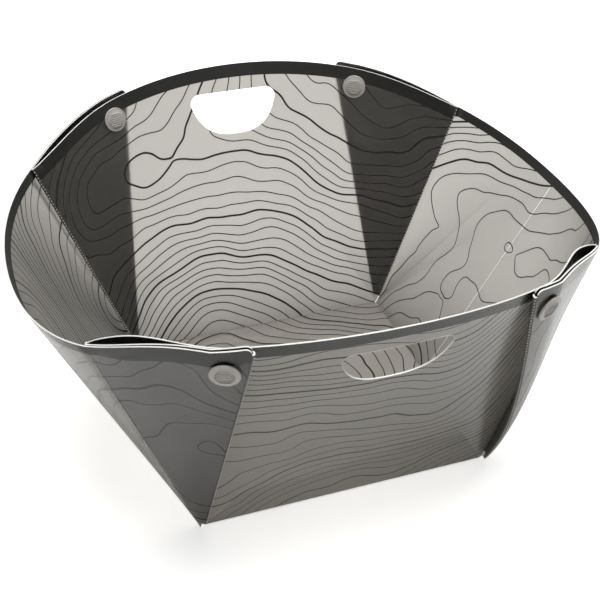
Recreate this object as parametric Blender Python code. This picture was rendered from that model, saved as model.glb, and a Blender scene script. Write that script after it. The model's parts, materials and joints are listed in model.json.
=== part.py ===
"""Collapsible bowl: one scored plastic sheet, folded up and held by a snap at each corner.

The sheet is die-cut and scored flat. Four walls stand up from a square base. At each base
corner a pleat (gusset and flap) lies folded on the outside of the front or back wall, and a
press snap holds the pleat to that wall. Every panel is drawn here as it lies in the flat
sheet and is then folded up, so a size changed in the flat sheet follows in the bowl.

Axes: X to the right, Y to the back, Z up. The origin is at the middle of the base's underside.
"""
import math

import bmesh
import bpy
from mathutils import Quaternion, Vector

MM = 0.001

# The sheet and its creases
SHEET = 0.8 * MM               # thickness of the plastic sheet
CREASE_GAP = 0.5 * MM          # from a base crease to the edge of each panel beside it
PLEAT_GAP = 0.3 * MM           # from a pleat crease to the edge of each panel beside it
SEAM_GAP = 1.0 * MM            # between a side wall's end and the flap that carries it on
LAYER_GAP = 0.3 * MM           # between two layers of a folded pleat
CORNER_RELIEF = 3.0 * MM       # base and walls stop this far short of the creases' common point
PLEAT_RELIEF = 10.0 * MM       # gussets and flaps stop further off, so they clear it as they unfold

# The base and the walls, measured on the sheet
BASE_X = 164.0 * MM            # base between the left and right creases
BASE_Y = 161.5 * MM            # base between the front and back creases
FRONT_RISE = 171.0 * MM        # front and back wall, crease to rim, at the middle
SIDE_RISE = 148.5 * MM         # left and right wall, crease to rim, at the middle
VALLEY_CREASE = 146.5 * MM     # base corner to rim along the inner pleat crease
VALLEY_ANGLE = math.radians(115.5)  # from the front crease to the inner pleat crease

# How the front and back walls stand when the snaps are closed; the side walls follow
FRONT_TILT = math.radians(68.2)     # middle of the wall above the floor
FRONT_CONE = math.radians(47.2)     # half angle of the cones that its ends bend round

# The pleats
HINGE_OUT = 1.95 * MM          # hinge line of the inner pleat crease, outside the wall's middle
RIM_DROP = 1.6 * MM            # the pleat's rim below the wall's rim, at the outer crease
PLEAT_ROUND = 7.0 * MM         # rounded top corner of gusset and flap
GUSSET_RAMP = 0.55             # share of the pleat's width in which the gusset reaches the flap

# The hand holes in the front and back walls
HAND_WIDTH = 56.0 * MM
HAND_DEPTH = 27.0 * MM
HAND_BELOW_RIM = 16.5 * MM     # straight top edge of the hole below the rim
HAND_CORNER = 6.0 * MM

# The snaps
CAP_DIAMETER = 14.5 * MM
CAP_EDGE = 0.9 * MM            # height of the cap's edge
CAP_CROWN = 2.1 * MM           # height of the cap's middle
CAP_LIP = 1.4 * MM             # width of the raised ring round the cap's face
POST_RADIUS = 1.4 * MM
POST_HEAD_RADIUS = 1.9 * MM
POST_HEAD = 0.4 * MM
STUD_DIAMETER = 9.6 * MM
STUD_BASE = 0.8 * MM
NIPPLE_RADIUS = 2.8 * MM
NIPPLE_HEIGHT = 1.0 * MM
SOCKET_DIAMETER = 10.6 * MM
SOCKET_HEIGHT = 2.2 * MM
SOCKET_BACK = 0.5 * MM         # the socket's back wall, which the post is riveted through
PART_GAP = 0.3 * MM            # between snap parts that touch
GUSSET_HOLE_CLEARANCE = 1.0 * MM
SNAP_FROM_FOLD = 9.3 * MM     # snap centre from the pleat's outer crease
SNAP_BELOW_RIM = 15.3 * MM     # snap centre below the wall's rim

# Fineness of curves
PLEAT_FACETS = 10
ROLL_FACETS = 7
SIDE_FACETS = 10
ROUND_STEPS = 24
HOLE_STEPS = 20

X_AXIS = Vector((1.0, 0.0, 0.0))
Y_AXIS = Vector((0.0, 1.0, 0.0))
Z_AXIS = Vector((0.0, 0.0, 1.0))
LAYER = SHEET + LAYER_GAP
SNAP_STACK = PART_GAP + STUD_BASE + PART_GAP + SOCKET_HEIGHT + PART_GAP


def clear_scene():
    for obj in list(bpy.data.objects):
        bpy.data.objects.remove(obj, do_unlink=True)


def plastic(name, colour, roughness, alpha=1.0):
    material = bpy.data.materials.new(name)
    material.use_nodes = True
    shader = material.node_tree.nodes["Principled BSDF"]
    shader.inputs["Base Color"].default_value = (*colour, 1.0)
    shader.inputs["Roughness"].default_value = roughness
    shader.inputs["Metallic"].default_value = 0.0
    shader.inputs["Alpha"].default_value = alpha
    return material


def smooth_step(share):
    share = min(1.0, max(0.0, share))
    return share * share * (3.0 - 2.0 * share)


class Wall:
    """A wall that is flat over its base crease and bends round a cone towards each end.

    Both cones have their tip at a base corner, where the creases of that corner meet, so
    every straight line from the tip to the rim stays straight when the sheet is folded.
    The bends begin on the lines from the base corners to the middle of the rim.
    """

    def __init__(self, along, away, half_base, half_other, rise):
        self.along, self.away = along, away
        self.half, self.rise = half_base, rise
        self.tip = -half_base * along + half_other * away + SHEET / 2 * Z_AXIS
        self.bend_start = math.atan2(rise, half_base)

    def stand(self, tilt, cone):
        """Stand the flat part at this tilt and roll the ends on cones of this half angle."""
        self.cone = cone
        self.up = math.cos(tilt) * self.away + math.sin(tilt) * Z_AXIS
        self.outward = math.sin(tilt) * self.away - math.cos(tilt) * Z_AXIS
        self.first = math.cos(self.bend_start) * self.along + math.sin(self.bend_start) * self.up
        self.axis = math.cos(cone) * self.first - math.sin(cone) * self.outward
        self.turn = -math.copysign(1.0, self.along.cross(self.up).dot(self.outward))

    def stand_to_meet(self, direction, outward):
        """Stand so that the bent end runs smoothly onto a line that another wall ends on.

        The cone must touch that wall along the line, and its tip corner fixes where the bend
        starts, which leaves one cone and one tilt. Returns the sheet angle to the line.
        """
        start = math.cos(self.bend_start)
        cone = math.atan((direction.dot(self.along) - start) / outward.dot(self.along))
        axis = math.cos(cone) * direction - math.sin(cone) * outward
        lean, height = -axis.dot(self.away), axis.z
        self.stand(math.atan2(lean, height) + math.acos(math.sin(cone) / math.hypot(lean, height)),
                   cone)
        first = self.first - self.first.dot(self.axis) * self.axis
        last = direction - direction.dot(self.axis) * self.axis
        return self.bend_start + first.angle(last) * math.sin(cone)

    def set_rim(self, end_angle, end_reach):
        """The rim is an arc through the wall's middle and the tops of its two end creases.

        Where the middle is lower than the ends, the arc sags and its radius is negative.
        """
        across = self.half - end_reach * math.cos(end_angle)
        drop = self.rise - end_reach * math.sin(end_angle)
        self.rim_radius = (across * across + drop * drop) / (2.0 * drop)

    def reach(self, angle):
        """Distance from the tip to the rim along the line at this angle to the base crease."""
        centre = Vector((self.half, self.rise - self.rim_radius))
        line = Vector((math.cos(angle), math.sin(angle)))
        middle = centre.dot(line)
        half_chord = math.sqrt(middle * middle - centre.length_squared + self.rim_radius ** 2)
        return middle + math.copysign(half_chord, self.rim_radius)

    def frame(self, angle):
        """Direction of that line on the folded wall, and the wall's outward normal there."""
        if angle <= self.bend_start:
            return math.cos(angle) * self.along + math.sin(angle) * self.up, self.outward
        roll = (angle - self.bend_start) / math.sin(self.cone)
        spin = Quaternion(self.axis, self.turn * roll)
        return spin @ self.first, spin @ self.outward

    def fold(self, across, height, out, lift=None):
        """Folded place of a sheet point: across from the wall's middle, height above the crease.

        out is the distance outside the middle of the sheet, and lift(angle, reach) adds to it.
        """
        run = self.half - abs(across)
        angle, reach = math.atan2(height, run), math.hypot(height, run)
        direction, outward = self.frame(angle)
        if lift:
            out += lift(angle, reach)
        point = self.tip + reach * direction + out * outward
        if across > 0.0:
            point -= 2.0 * point.dot(self.along) * self.along
        return point


FRONT = Wall(X_AXIS, -Y_AXIS, BASE_X / 2, BASE_Y / 2, FRONT_RISE)
FRONT.stand(FRONT_TILT, FRONT_CONE)
SIDE = Wall(Y_AXIS, -X_AXIS, BASE_Y / 2, BASE_X / 2, SIDE_RISE)
SEAM_ANGLE = SIDE.stand_to_meet(*FRONT.frame(VALLEY_ANGLE))
FRONT.set_rim(VALLEY_ANGLE, VALLEY_CREASE)
SIDE.set_rim(SEAM_ANGLE, VALLEY_CREASE)

# The sheet round a base corner adds up to a full turn: base, front wall, gusset, flap, side.
PLEAT_WIDTH = (math.radians(270.0) - VALLEY_ANGLE - SEAM_ANGLE) / 2
MOUNTAIN_ANGLE = VALLEY_ANGLE - PLEAT_WIDTH

SNAP_REACH = FRONT.reach(MOUNTAIN_ANGLE) - SNAP_BELOW_RIM
SNAP_ANGLE = MOUNTAIN_ANGLE + math.asin(SNAP_FROM_FOLD / SNAP_REACH)

# The closed snap holds the flap off the wall, so the pleat opens steadily from corner to rim.
PLEAT_OPENING = (SNAP_STACK + SHEET - 2 * LAYER) / SNAP_REACH


def gusset_lift(angle, reach):
    """Gusset outside the wall: on it at the inner crease, then soon up against the flap.

    The mouth of the pleat so stays open between the wall and the gusset.
    """
    share = smooth_step((VALLEY_ANGLE - angle) / (GUSSET_RAMP * PLEAT_WIDTH))
    return LAYER + PLEAT_OPENING * reach * share


def flap_lift(angle, reach):
    return 2 * LAYER + PLEAT_OPENING * reach


def side_lift(angle, reach):
    """The side wall eases out to meet the flap, which is two layers outside the front wall."""
    share = smooth_step((angle - SIDE.bend_start) / (SEAM_ANGLE - SIDE.bend_start))
    return share * flap_lift(angle, reach)


def polar(wall, angle, reach, inset=0.0):
    """Sheet point on a line from the left base corner, moved sideways towards the crease."""
    across = -wall.half + reach * math.cos(angle) + inset * math.sin(angle)
    return across, reach * math.sin(angle) - inset * math.cos(angle)


def spread(first, last, count):
    return [first + (last - first) * i / count for i in range(count + 1)]


def circle(centre, radius, steps=HOLE_STEPS):
    turns = [2 * math.pi * i / steps for i in range(steps)]
    return [(centre[0] + radius * math.cos(t), centre[1] + radius * math.sin(t)) for t in turns]


def wall_outline(wall, end_angle, facets, edge_gap):
    """Left half of a wall up to the rim's middle, then the same mirrored."""
    left = [(-wall.half + CORNER_RELIEF, CREASE_GAP)]
    left.append(polar(wall, end_angle, CORNER_RELIEF, edge_gap))
    left.append(polar(wall, end_angle, VALLEY_CREASE, edge_gap))
    left += [polar(wall, a, wall.reach(a)) for a in facets[1:-1]]
    right = [(-across, height) for across, height in reversed(left)]
    return left + [(0.0, wall.rise)] + right


def pleat_outline(edge_gap):
    """Gusset and flap share this outline, because they are folded onto each other."""
    angles = spread(VALLEY_ANGLE, MOUNTAIN_ANGLE, PLEAT_FACETS)
    rims = []
    for angle in angles:
        share = (VALLEY_ANGLE - angle) / PLEAT_WIDTH
        rims.append(FRONT.reach(angle) - RIM_DROP * smooth_step(share))
    points = [polar(FRONT, VALLEY_ANGLE, PLEAT_RELIEF, edge_gap)]
    points.append(polar(FRONT, VALLEY_ANGLE, rims[0], edge_gap))
    points += [polar(FRONT, a, r) for a, r in zip(angles[1:-3], rims[1:-3])]
    top = Vector(polar(FRONT, MOUNTAIN_ANGLE, rims[-1], -PLEAT_GAP))
    bottom = Vector(polar(FRONT, MOUNTAIN_ANGLE, PLEAT_RELIEF, -PLEAT_GAP))
    before = Vector(polar(FRONT, angles[-2], rims[-2]))
    points += [tuple(p) for p in rounded_corner(before, top, bottom, PLEAT_ROUND)]
    return points + [tuple(bottom)]


def rounded_corner(before, corner, after, radius, steps=5):
    """Arc that rounds off a corner between two straight edges."""
    first, second = (before - corner).normalized(), (after - corner).normalized()
    half = first.angle(second) / 2
    centre = corner + (first + second).normalized() * radius / math.sin(half)
    start = corner + first * radius / math.tan(half) - centre
    end = corner + second * radius / math.tan(half) - centre
    arc = []
    for share in spread(0.0, 1.0, steps):
        mixed = start.lerp(end, share).normalized() * radius
        arc.append(centre + mixed)
    return arc


def hand_hole():
    """A letter D lying on its back: straight top edge, rounded corners, full round below."""
    top = FRONT.rise - HAND_BELOW_RIM
    half = HAND_WIDTH / 2
    corner = Vector((half, top))
    shoulder = Vector((half * 0.97, top - HAND_DEPTH * 0.45))
    arc = rounded_corner(Vector((0.0, top)), corner, shoulder, HAND_CORNER)
    right = [tuple(p) for p in arc]
    for turn in spread(0.12, 0.5, 8)[:-1]:
        width = half * math.cos(turn * math.pi) ** 0.75
        right.append((width, top - HAND_DEPTH * math.sin(turn * math.pi) ** 1.05))
    left = [(-across, height) for across, height in reversed(right)]
    return right + [(0.0, top - HAND_DEPTH)] + left


def snap_holes(radius, both_ends):
    across, height = polar(FRONT, SNAP_ANGLE, SNAP_REACH)
    centres = [(across, height), (-across, height)] if both_ends else [(across, height)]
    return [circle(centre, radius) for centre in centres]


def cut_panel(outline, holes, bends):
    """Flat panel with its holes, scored along the lines where it will bend, then thickened."""
    panel = bmesh.new()
    for loop in [outline] + holes:
        verts = [panel.verts.new((x, y, 0.0)) for x, y in loop]
        for i, vert in enumerate(verts):
            panel.edges.new((verts[i - 1], vert))
    bmesh.ops.triangle_fill(panel, use_beauty=True, edges=panel.edges[:])
    for origin, angle in bends:
        across = Vector((-math.sin(angle), math.cos(angle), 0.0))
        geometry = panel.verts[:] + panel.edges[:] + panel.faces[:]
        bmesh.ops.bisect_plane(panel, geom=geometry, dist=1e-7, plane_co=origin, plane_no=across)
    for vert in panel.verts:
        vert.co.z = -SHEET / 2
    upper = bmesh.ops.extrude_face_region(panel, geom=panel.faces[:])["geom"]
    for item in upper:
        if isinstance(item, bmesh.types.BMVert):
            item.co.z = SHEET / 2
    return panel


def fold_panel(panel, wall, lift=None):
    for vert in panel.verts:
        vert.co = wall.fold(vert.co.x, vert.co.y, vert.co.z, lift)


def make_panel(name, panel, mirror, origin, material):
    """Object whose origin lies on its crease. mirror is -1 on an axis that is mirrored."""
    copy = panel.copy()
    for vert in copy.verts:
        vert.co = Vector(c * m for c, m in zip(vert.co, mirror)) - origin
    bmesh.ops.triangulate(copy, faces=copy.faces[:])
    bmesh.ops.recalc_face_normals(copy, faces=copy.faces[:])
    mesh = bpy.data.meshes.new(name)
    copy.to_mesh(mesh)
    copy.free()
    mesh.set_sharp_from_angle(angle=math.radians(30.0))
    mesh.materials.append(material)
    obj = bpy.data.objects.new(name, mesh)
    obj.location = origin
    bpy.context.scene.collection.objects.link(obj)
    return obj


def mirrored(point, mirror):
    return Vector(c * m for c, m in zip(point, mirror))


def build_base(material):
    half_x, half_y = BASE_X / 2 - CREASE_GAP, BASE_Y / 2 - CREASE_GAP
    cut_x, cut_y = BASE_X / 2 - CORNER_RELIEF, BASE_Y / 2 - CORNER_RELIEF
    corner = [(half_x, cut_y), (cut_x, half_y)]
    outline = corner + [(-x, y) for x, y in reversed(corner)]
    outline += [(-x, -y) for x, y in corner] + [(x, -y) for x, y in reversed(corner)]
    panel = cut_panel(outline, [], [])
    for vert in panel.verts:
        vert.co.z += SHEET / 2
    make_panel("base_panel", panel, (1, 1, 1), Vector(), material)
    panel.free()


def wall_bends(wall, angles):
    left = [(Vector((-wall.half, 0.0, 0.0)), a) for a in angles]
    right = [(Vector((wall.half, 0.0, 0.0)), math.pi - a) for a in angles]
    return left + right


def build_front_and_back(material):
    """Front and back wall, each with a hand hole and a small hole for each snap post."""
    angles = spread(VALLEY_ANGLE, MOUNTAIN_ANGLE, PLEAT_FACETS)
    angles += spread(MOUNTAIN_ANGLE, FRONT.bend_start, ROLL_FACETS)[1:]
    outline = wall_outline(FRONT, VALLEY_ANGLE, angles, PLEAT_GAP)
    holes = [hand_hole()] + snap_holes(POST_RADIUS + PART_GAP, both_ends=True)
    panel = cut_panel(outline, holes, wall_bends(FRONT, angles[1:]))
    fold_panel(panel, FRONT)
    walls = {}
    for name, mirror in (("front_wall", (1, 1, 1)), ("back_wall", (1, -1, 1))):
        crease = mirrored(Vector((0.0, -BASE_Y / 2, SHEET / 2)), mirror)
        walls[name] = make_panel(name, panel, mirror, crease, material)
    panel.free()
    return walls


def build_sides(material):
    """Left and right wall. Their ends carry on past the seam as the flaps."""
    angles = spread(SEAM_ANGLE, SIDE.bend_start, SIDE_FACETS)
    outline = wall_outline(SIDE, SEAM_ANGLE, angles, SEAM_GAP / 2)
    panel = cut_panel(outline, [], wall_bends(SIDE, angles[1:]))
    fold_panel(panel, SIDE, side_lift)
    for name, mirror in (("left_wall", (1, 1, 1)), ("right_wall", (-1, 1, 1))):
        crease = mirrored(Vector((-BASE_X / 2, 0.0, SHEET / 2)), mirror)
        make_panel(name, panel, mirror, crease, material)
    panel.free()


CORNERS = {
    "front_left": (1, 1, 1),
    "front_right": (-1, 1, 1),
    "back_left": (1, -1, 1),
    "back_right": (-1, -1, 1),
}


def crease_point(angle, out):
    """Middle of a pleat crease of the front left corner, at a distance outside the wall."""
    direction, outward = FRONT.frame(angle)
    return FRONT.tip + VALLEY_CREASE / 2 * direction + out * outward


def build_pleats(material):
    """Each corner's gusset, with a clearance hole round the snap, and its flap."""
    bends = wall_bends(FRONT, spread(VALLEY_ANGLE, MOUNTAIN_ANGLE, PLEAT_FACETS)[1:-1])
    bends = bends[:PLEAT_FACETS - 1]
    gusset_hole = SOCKET_DIAMETER / 2 + GUSSET_HOLE_CLEARANCE
    gusset = cut_panel(pleat_outline(PLEAT_GAP), snap_holes(gusset_hole, both_ends=False), bends)
    fold_panel(gusset, FRONT, gusset_lift)
    post_hole = POST_RADIUS + PART_GAP
    flap = cut_panel(pleat_outline(SEAM_GAP / 2), snap_holes(post_hole, both_ends=False), bends)
    fold_panel(flap, FRONT, flap_lift)
    inner_crease = crease_point(VALLEY_ANGLE, HINGE_OUT)
    outer_crease = crease_point(MOUNTAIN_ANGLE, 1.5 * LAYER + PLEAT_OPENING * VALLEY_CREASE / 2)
    flaps = {}
    for corner, mirror in CORNERS.items():
        origin = mirrored(inner_crease, mirror)
        make_panel(f"{corner}_gusset", gusset, mirror, origin, material)
        origin = mirrored(outer_crease, mirror)
        flaps[corner] = make_panel(f"{corner}_flap", flap, mirror, origin, material)
    gusset.free()
    flap.free()
    return flaps


def turned(name, profile, material):
    """Solid turned about Z. The profile runs from the axis, round the outside, back to it."""
    shape = bmesh.new()
    verts = [shape.verts.new((radius, 0.0, height)) for radius, height in profile]
    edges = [shape.edges.new(pair) for pair in zip(verts, verts[1:])]
    bmesh.ops.spin(shape, geom=verts + edges, cent=(0, 0, 0), axis=(0, 0, 1),
                   angle=2 * math.pi, steps=ROUND_STEPS, use_merge=True)
    bmesh.ops.remove_doubles(shape, verts=shape.verts[:], dist=1e-6)
    bmesh.ops.dissolve_degenerate(shape, edges=shape.edges[:], dist=1e-7)
    bmesh.ops.recalc_face_normals(shape, faces=shape.faces[:])
    mesh = bpy.data.meshes.new(name)
    shape.to_mesh(mesh)
    shape.free()
    mesh.shade_smooth()
    mesh.set_sharp_from_angle(angle=math.radians(35.0))
    mesh.materials.append(material)
    return mesh


def cap_profile(post_length):
    """Moulded cap with a ring round its face and a post whose end is riveted to a head.

    Height zero is the sheet face that the cap lies on, and the post points down from it.
    """
    radius = CAP_DIAMETER / 2
    under = PART_GAP
    head_top = -post_length + POST_HEAD
    return [
        (0.0, -post_length), (POST_HEAD_RADIUS, -post_length), (POST_HEAD_RADIUS, head_top),
        (POST_RADIUS, head_top), (POST_RADIUS, under), (radius - 0.25 * CAP_LIP, under),
        (radius, under + 0.3 * CAP_EDGE), (radius, under + 0.7 * CAP_EDGE),
        (radius - 0.25 * CAP_LIP, under + CAP_EDGE), (radius - 0.75 * CAP_LIP, under + CAP_EDGE),
        (radius - CAP_LIP, under + 0.8 * CAP_EDGE), (0.6 * radius, under + 0.78 * CAP_CROWN),
        (0.3 * radius, under + 0.95 * CAP_CROWN), (0.0, under + CAP_CROWN),
    ]


def stud_profile():
    """Flange with a hollow nipple; the inner cap's post is riveted inside the nipple."""
    bore = POST_RADIUS + PART_GAP
    hollow = POST_HEAD_RADIUS + PART_GAP
    under, flange = PART_GAP, PART_GAP + STUD_BASE
    top = flange + NIPPLE_HEIGHT
    neck = NIPPLE_RADIUS - 0.2 * MM
    return [
        (bore, under), (STUD_DIAMETER / 2, under), (STUD_DIAMETER / 2, flange - 0.2 * MM),
        (STUD_DIAMETER / 2 - 0.3 * MM, flange), (neck, flange), (neck, flange + 0.3 * NIPPLE_HEIGHT),
        (NIPPLE_RADIUS, flange + 0.6 * NIPPLE_HEIGHT), (NIPPLE_RADIUS - 0.2 * MM, top),
        (hollow, top), (hollow, flange), (bore, flange), (bore, under),
    ]


def socket_profile():
    """Cup that the nipple enters; it hangs below the flap, so heights run downwards."""
    bore = POST_RADIUS + PART_GAP
    hollow = NIPPLE_RADIUS + PART_GAP
    top, mouth = -PART_GAP, -PART_GAP - SOCKET_HEIGHT
    radius = SOCKET_DIAMETER / 2
    return [
        (bore, top), (bore, top - SOCKET_BACK), (hollow, top - SOCKET_BACK), (hollow, mouth),
        (radius - 1.2 * MM, mouth), (radius - 0.8 * MM, mouth + 0.4 * SOCKET_HEIGHT),
        (radius - 0.2 * MM, mouth + 0.5 * SOCKET_HEIGHT), (radius, mouth + 0.7 * SOCKET_HEIGHT),
        (radius, top), (bore, top),
    ]


def place_snap_part(name, mesh, base, outward, parent, flipped=False):
    obj = bpy.data.objects.new(name, mesh)
    axis = -outward if flipped else outward
    obj.parent = parent
    obj.location = base - parent.location
    obj.rotation_mode = "QUATERNION"
    obj.rotation_quaternion = axis.to_track_quat("Z", "Y")
    bpy.context.scene.collection.objects.link(obj)


def build_snaps(walls, flaps, material):
    """Four press snaps: cap and socket on the flap, stud and inner cap on the wall."""
    wall_grip = SHEET + PART_GAP + STUD_BASE + PART_GAP + POST_HEAD
    flap_grip = SHEET + PART_GAP + SOCKET_BACK + PART_GAP + POST_HEAD
    outer_cap = turned("outer_cap", cap_profile(flap_grip), material)
    inner_cap = turned("inner_cap", cap_profile(wall_grip), material)
    stud = turned("stud", stud_profile(), material)
    socket = turned("socket", socket_profile(), material)
    direction, outward = FRONT.frame(SNAP_ANGLE)
    on_wall = FRONT.tip + SNAP_REACH * direction
    on_flap = on_wall + flap_lift(SNAP_ANGLE, SNAP_REACH) * outward
    for corner, mirror in CORNERS.items():
        wall = walls["front_wall" if mirror[1] > 0 else "back_wall"]
        flap = flaps[corner]
        out = mirrored(outward, mirror)
        wall_middle, flap_middle = mirrored(on_wall, mirror), mirrored(on_flap, mirror)
        place_snap_part(f"{corner}_outer_cap", outer_cap, flap_middle + SHEET / 2 * out, out, flap)
        place_snap_part(f"{corner}_socket", socket, flap_middle - SHEET / 2 * out, out, flap)
        place_snap_part(f"{corner}_stud", stud, wall_middle + SHEET / 2 * out, out, wall)
        place_snap_part(f"{corner}_inner_cap", inner_cap, wall_middle - SHEET / 2 * out, out, wall,
                        flipped=True)


def main():
    clear_scene()
    smoke_sheet = plastic("smoke_polypropylene_sheet", (0.16, 0.15, 0.14), 0.35, alpha=0.75)
    grey_acetal = plastic("grey_acetal_snap", (0.29, 0.28, 0.26), 0.5)
    build_base(smoke_sheet)
    walls = build_front_and_back(smoke_sheet)
    build_sides(smoke_sheet)
    flaps = build_pleats(smoke_sheet)
    build_snaps(walls, flaps, grey_acetal)
    bpy.context.view_layer.update()
    print("valley angle", round(math.degrees(VALLEY_ANGLE), 2),
          "seam angle", round(math.degrees(SEAM_ANGLE), 2),
          "pleat width", round(math.degrees(PLEAT_WIDTH), 2))


main()
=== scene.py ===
# %% [markdown]
# # A folding bowl in printed plastic film
# The real bowl is one die-cut sheet of translucent smoke-grey polypropylene. It is scored,
# folded up and held by four press snaps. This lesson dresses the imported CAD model: the frame
# gives the places and the moving bodies, and each cell adds one piece or one finish.
# Everything is in metres, with the origin in the middle of the base's underside.

import json
import math

import bmesh
import bpy
from mathutils import Matrix, Quaternion, Vector


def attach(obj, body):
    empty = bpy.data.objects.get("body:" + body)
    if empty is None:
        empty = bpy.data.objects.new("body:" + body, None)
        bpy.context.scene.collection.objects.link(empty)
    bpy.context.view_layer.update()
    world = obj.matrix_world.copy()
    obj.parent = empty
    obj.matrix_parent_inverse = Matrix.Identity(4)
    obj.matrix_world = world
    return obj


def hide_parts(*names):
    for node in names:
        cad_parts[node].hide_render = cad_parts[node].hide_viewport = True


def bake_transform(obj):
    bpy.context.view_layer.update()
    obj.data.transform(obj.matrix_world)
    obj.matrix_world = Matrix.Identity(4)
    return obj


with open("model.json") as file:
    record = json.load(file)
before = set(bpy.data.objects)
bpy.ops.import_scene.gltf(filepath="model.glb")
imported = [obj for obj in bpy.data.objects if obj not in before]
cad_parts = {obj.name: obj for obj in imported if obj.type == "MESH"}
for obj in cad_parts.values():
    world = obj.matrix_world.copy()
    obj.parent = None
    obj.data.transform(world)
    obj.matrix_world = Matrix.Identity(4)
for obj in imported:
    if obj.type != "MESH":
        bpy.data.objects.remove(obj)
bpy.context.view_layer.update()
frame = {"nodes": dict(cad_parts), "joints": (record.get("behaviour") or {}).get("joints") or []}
MM = 0.001

# %% [markdown]
# ## The sheet's own sizes
# A folded sheet is easiest to draw flat. These are the die-cut sizes of the sheet, the same
# ones that the CAD part is folded from. The base's creases are read from the frame's joints,
# so the walls hinge exactly where the bodies do.

# %% Sizes of the flat sheet
joints = {joint["name"]: joint for joint in frame["joints"]}
HALF_X = -joints["left_wall_fold"]["pos_m"][0]
HALF_Y = -joints["front_wall_fold"]["pos_m"][1]
SHEET = 0.8 * MM
LAYER = SHEET + 0.3 * MM
FRONT_RISE = 171.0 * MM
SIDE_RISE = 148.5 * MM
VALLEY_CREASE = 146.5 * MM
VALLEY_ANGLE = math.radians(115.5)
FRONT_TILT = math.radians(68.2)
FRONT_CONE = math.radians(47.2)
RIM_RISE = 2.5 * MM
PLEAT_ROUND = 2.6 * MM
print("base", round(2 * HALF_X / MM, 1), "x", round(2 * HALF_Y / MM, 1), "mm")

# %% [markdown]
# ## How a wall stands
# Each wall is flat in the middle and bends round a cone towards both ends. The cone's tip is
# the base corner, because that is where all creases of a corner meet, and a sheet can only
# bend along straight lines. So every line from the corner to the rim stays straight. The
# class below holds that rule, and later a geometry tree applies it to whole panels.

# %% The fold rule of a wall
X_AXIS, Y_AXIS, Z_AXIS = Vector((1, 0, 0)), Vector((0, 1, 0)), Vector((0, 0, 1))


def smooth_step(share):
    share = min(1.0, max(0.0, share))
    return share * share * (3.0 - 2.0 * share)


class Wall:
    """A wall's crease, its tilt and the cones that its ends bend round."""

    def __init__(self, along, away, half, other, rise):
        self.along, self.away, self.half, self.rise = along, away, half, rise
        self.tip = -half * along + other * away + SHEET / 2 * Z_AXIS
        self.bend_start = math.atan2(rise, half)

    def stand(self, tilt, cone):
        self.cone = cone
        self.up = math.cos(tilt) * self.away + math.sin(tilt) * Z_AXIS
        self.outward = math.sin(tilt) * self.away - math.cos(tilt) * Z_AXIS
        self.first = math.cos(self.bend_start) * self.along + math.sin(self.bend_start) * self.up
        self.axis = math.cos(cone) * self.first - math.sin(cone) * self.outward
        self.turn = -math.copysign(1.0, self.along.cross(self.up).dot(self.outward))

    def stand_to_meet(self, direction, outward):
        """Stands so that the bent end runs smoothly onto another wall's last line."""
        cone = math.atan((direction.dot(self.along) - math.cos(self.bend_start))
                         / outward.dot(self.along))
        axis = math.cos(cone) * direction - math.sin(cone) * outward
        lean, height = -axis.dot(self.away), axis.z
        tilt = math.atan2(lean, height) + math.acos(math.sin(cone) / math.hypot(lean, height))
        self.stand(tilt, cone)
        first = self.first - self.first.dot(self.axis) * self.axis
        last = direction - direction.dot(self.axis) * self.axis
        return self.bend_start + first.angle(last) * math.sin(cone)

    def set_rim(self, end_angle, end_reach):
        across = self.half - end_reach * math.cos(end_angle)
        drop = self.rise - end_reach * math.sin(end_angle)
        self.rim_radius = (across * across + drop * drop) / (2.0 * drop)
        self.rim_centre = Vector((0.0, self.rise - self.rim_radius))

    def reach(self, angle):
        """Distance from the base corner to the rim, along the line at this angle."""
        centre = Vector((self.half, self.rise - self.rim_radius))
        middle = centre.dot(Vector((math.cos(angle), math.sin(angle))))
        return middle + math.sqrt(middle ** 2 - centre.length_squared + self.rim_radius ** 2)

    def frame(self, angle):
        """Direction of that line on the standing wall, and the way out from it."""
        if angle <= self.bend_start:
            return math.cos(angle) * self.along + math.sin(angle) * self.up, self.outward
        roll = (angle - self.bend_start) / math.sin(self.cone)
        spin = Quaternion(self.axis, self.turn * roll)
        return spin @ self.first, spin @ self.outward

    def point(self, angle, reach, out):
        direction, outward = self.frame(angle)
        return self.tip + reach * direction + out * outward


FRONT = Wall(X_AXIS, -Y_AXIS, HALF_X, HALF_Y, FRONT_RISE)
FRONT.stand(FRONT_TILT, FRONT_CONE)
SIDE = Wall(Y_AXIS, -X_AXIS, HALF_Y, HALF_X, SIDE_RISE)
SEAM_ANGLE = SIDE.stand_to_meet(*FRONT.frame(VALLEY_ANGLE))
FRONT.set_rim(VALLEY_ANGLE, VALLEY_CREASE)
SIDE.set_rim(SEAM_ANGLE, VALLEY_CREASE)
PLEAT_WIDTH = (math.radians(270.0) - VALLEY_ANGLE - SEAM_ANGLE) / 2
MOUNTAIN_ANGLE = VALLEY_ANGLE - PLEAT_WIDTH
print("pleat", round(math.degrees(PLEAT_WIDTH), 2), "degrees wide at the corner")

# %% [markdown]
# ## How the pleat's layers lie
# A pleat is three layers: the wall, the gusset and the flap. They meet at the inner fold, and
# the closed snap holds the flap off the wall. The film is stiff, so it doesn't fill the room
# between evenly: the wall's rim springs inwards just past the inner fold, which opens a dark
# mouth there, the gusset leans on the flap, one outer fold bows out below its snap, and the
# flap's rim tucks in above the snap. These bends are a few millimetres, and each is written as
# one smooth bump on the sheet. How far each corner springs comes later, with the corners.

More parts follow.
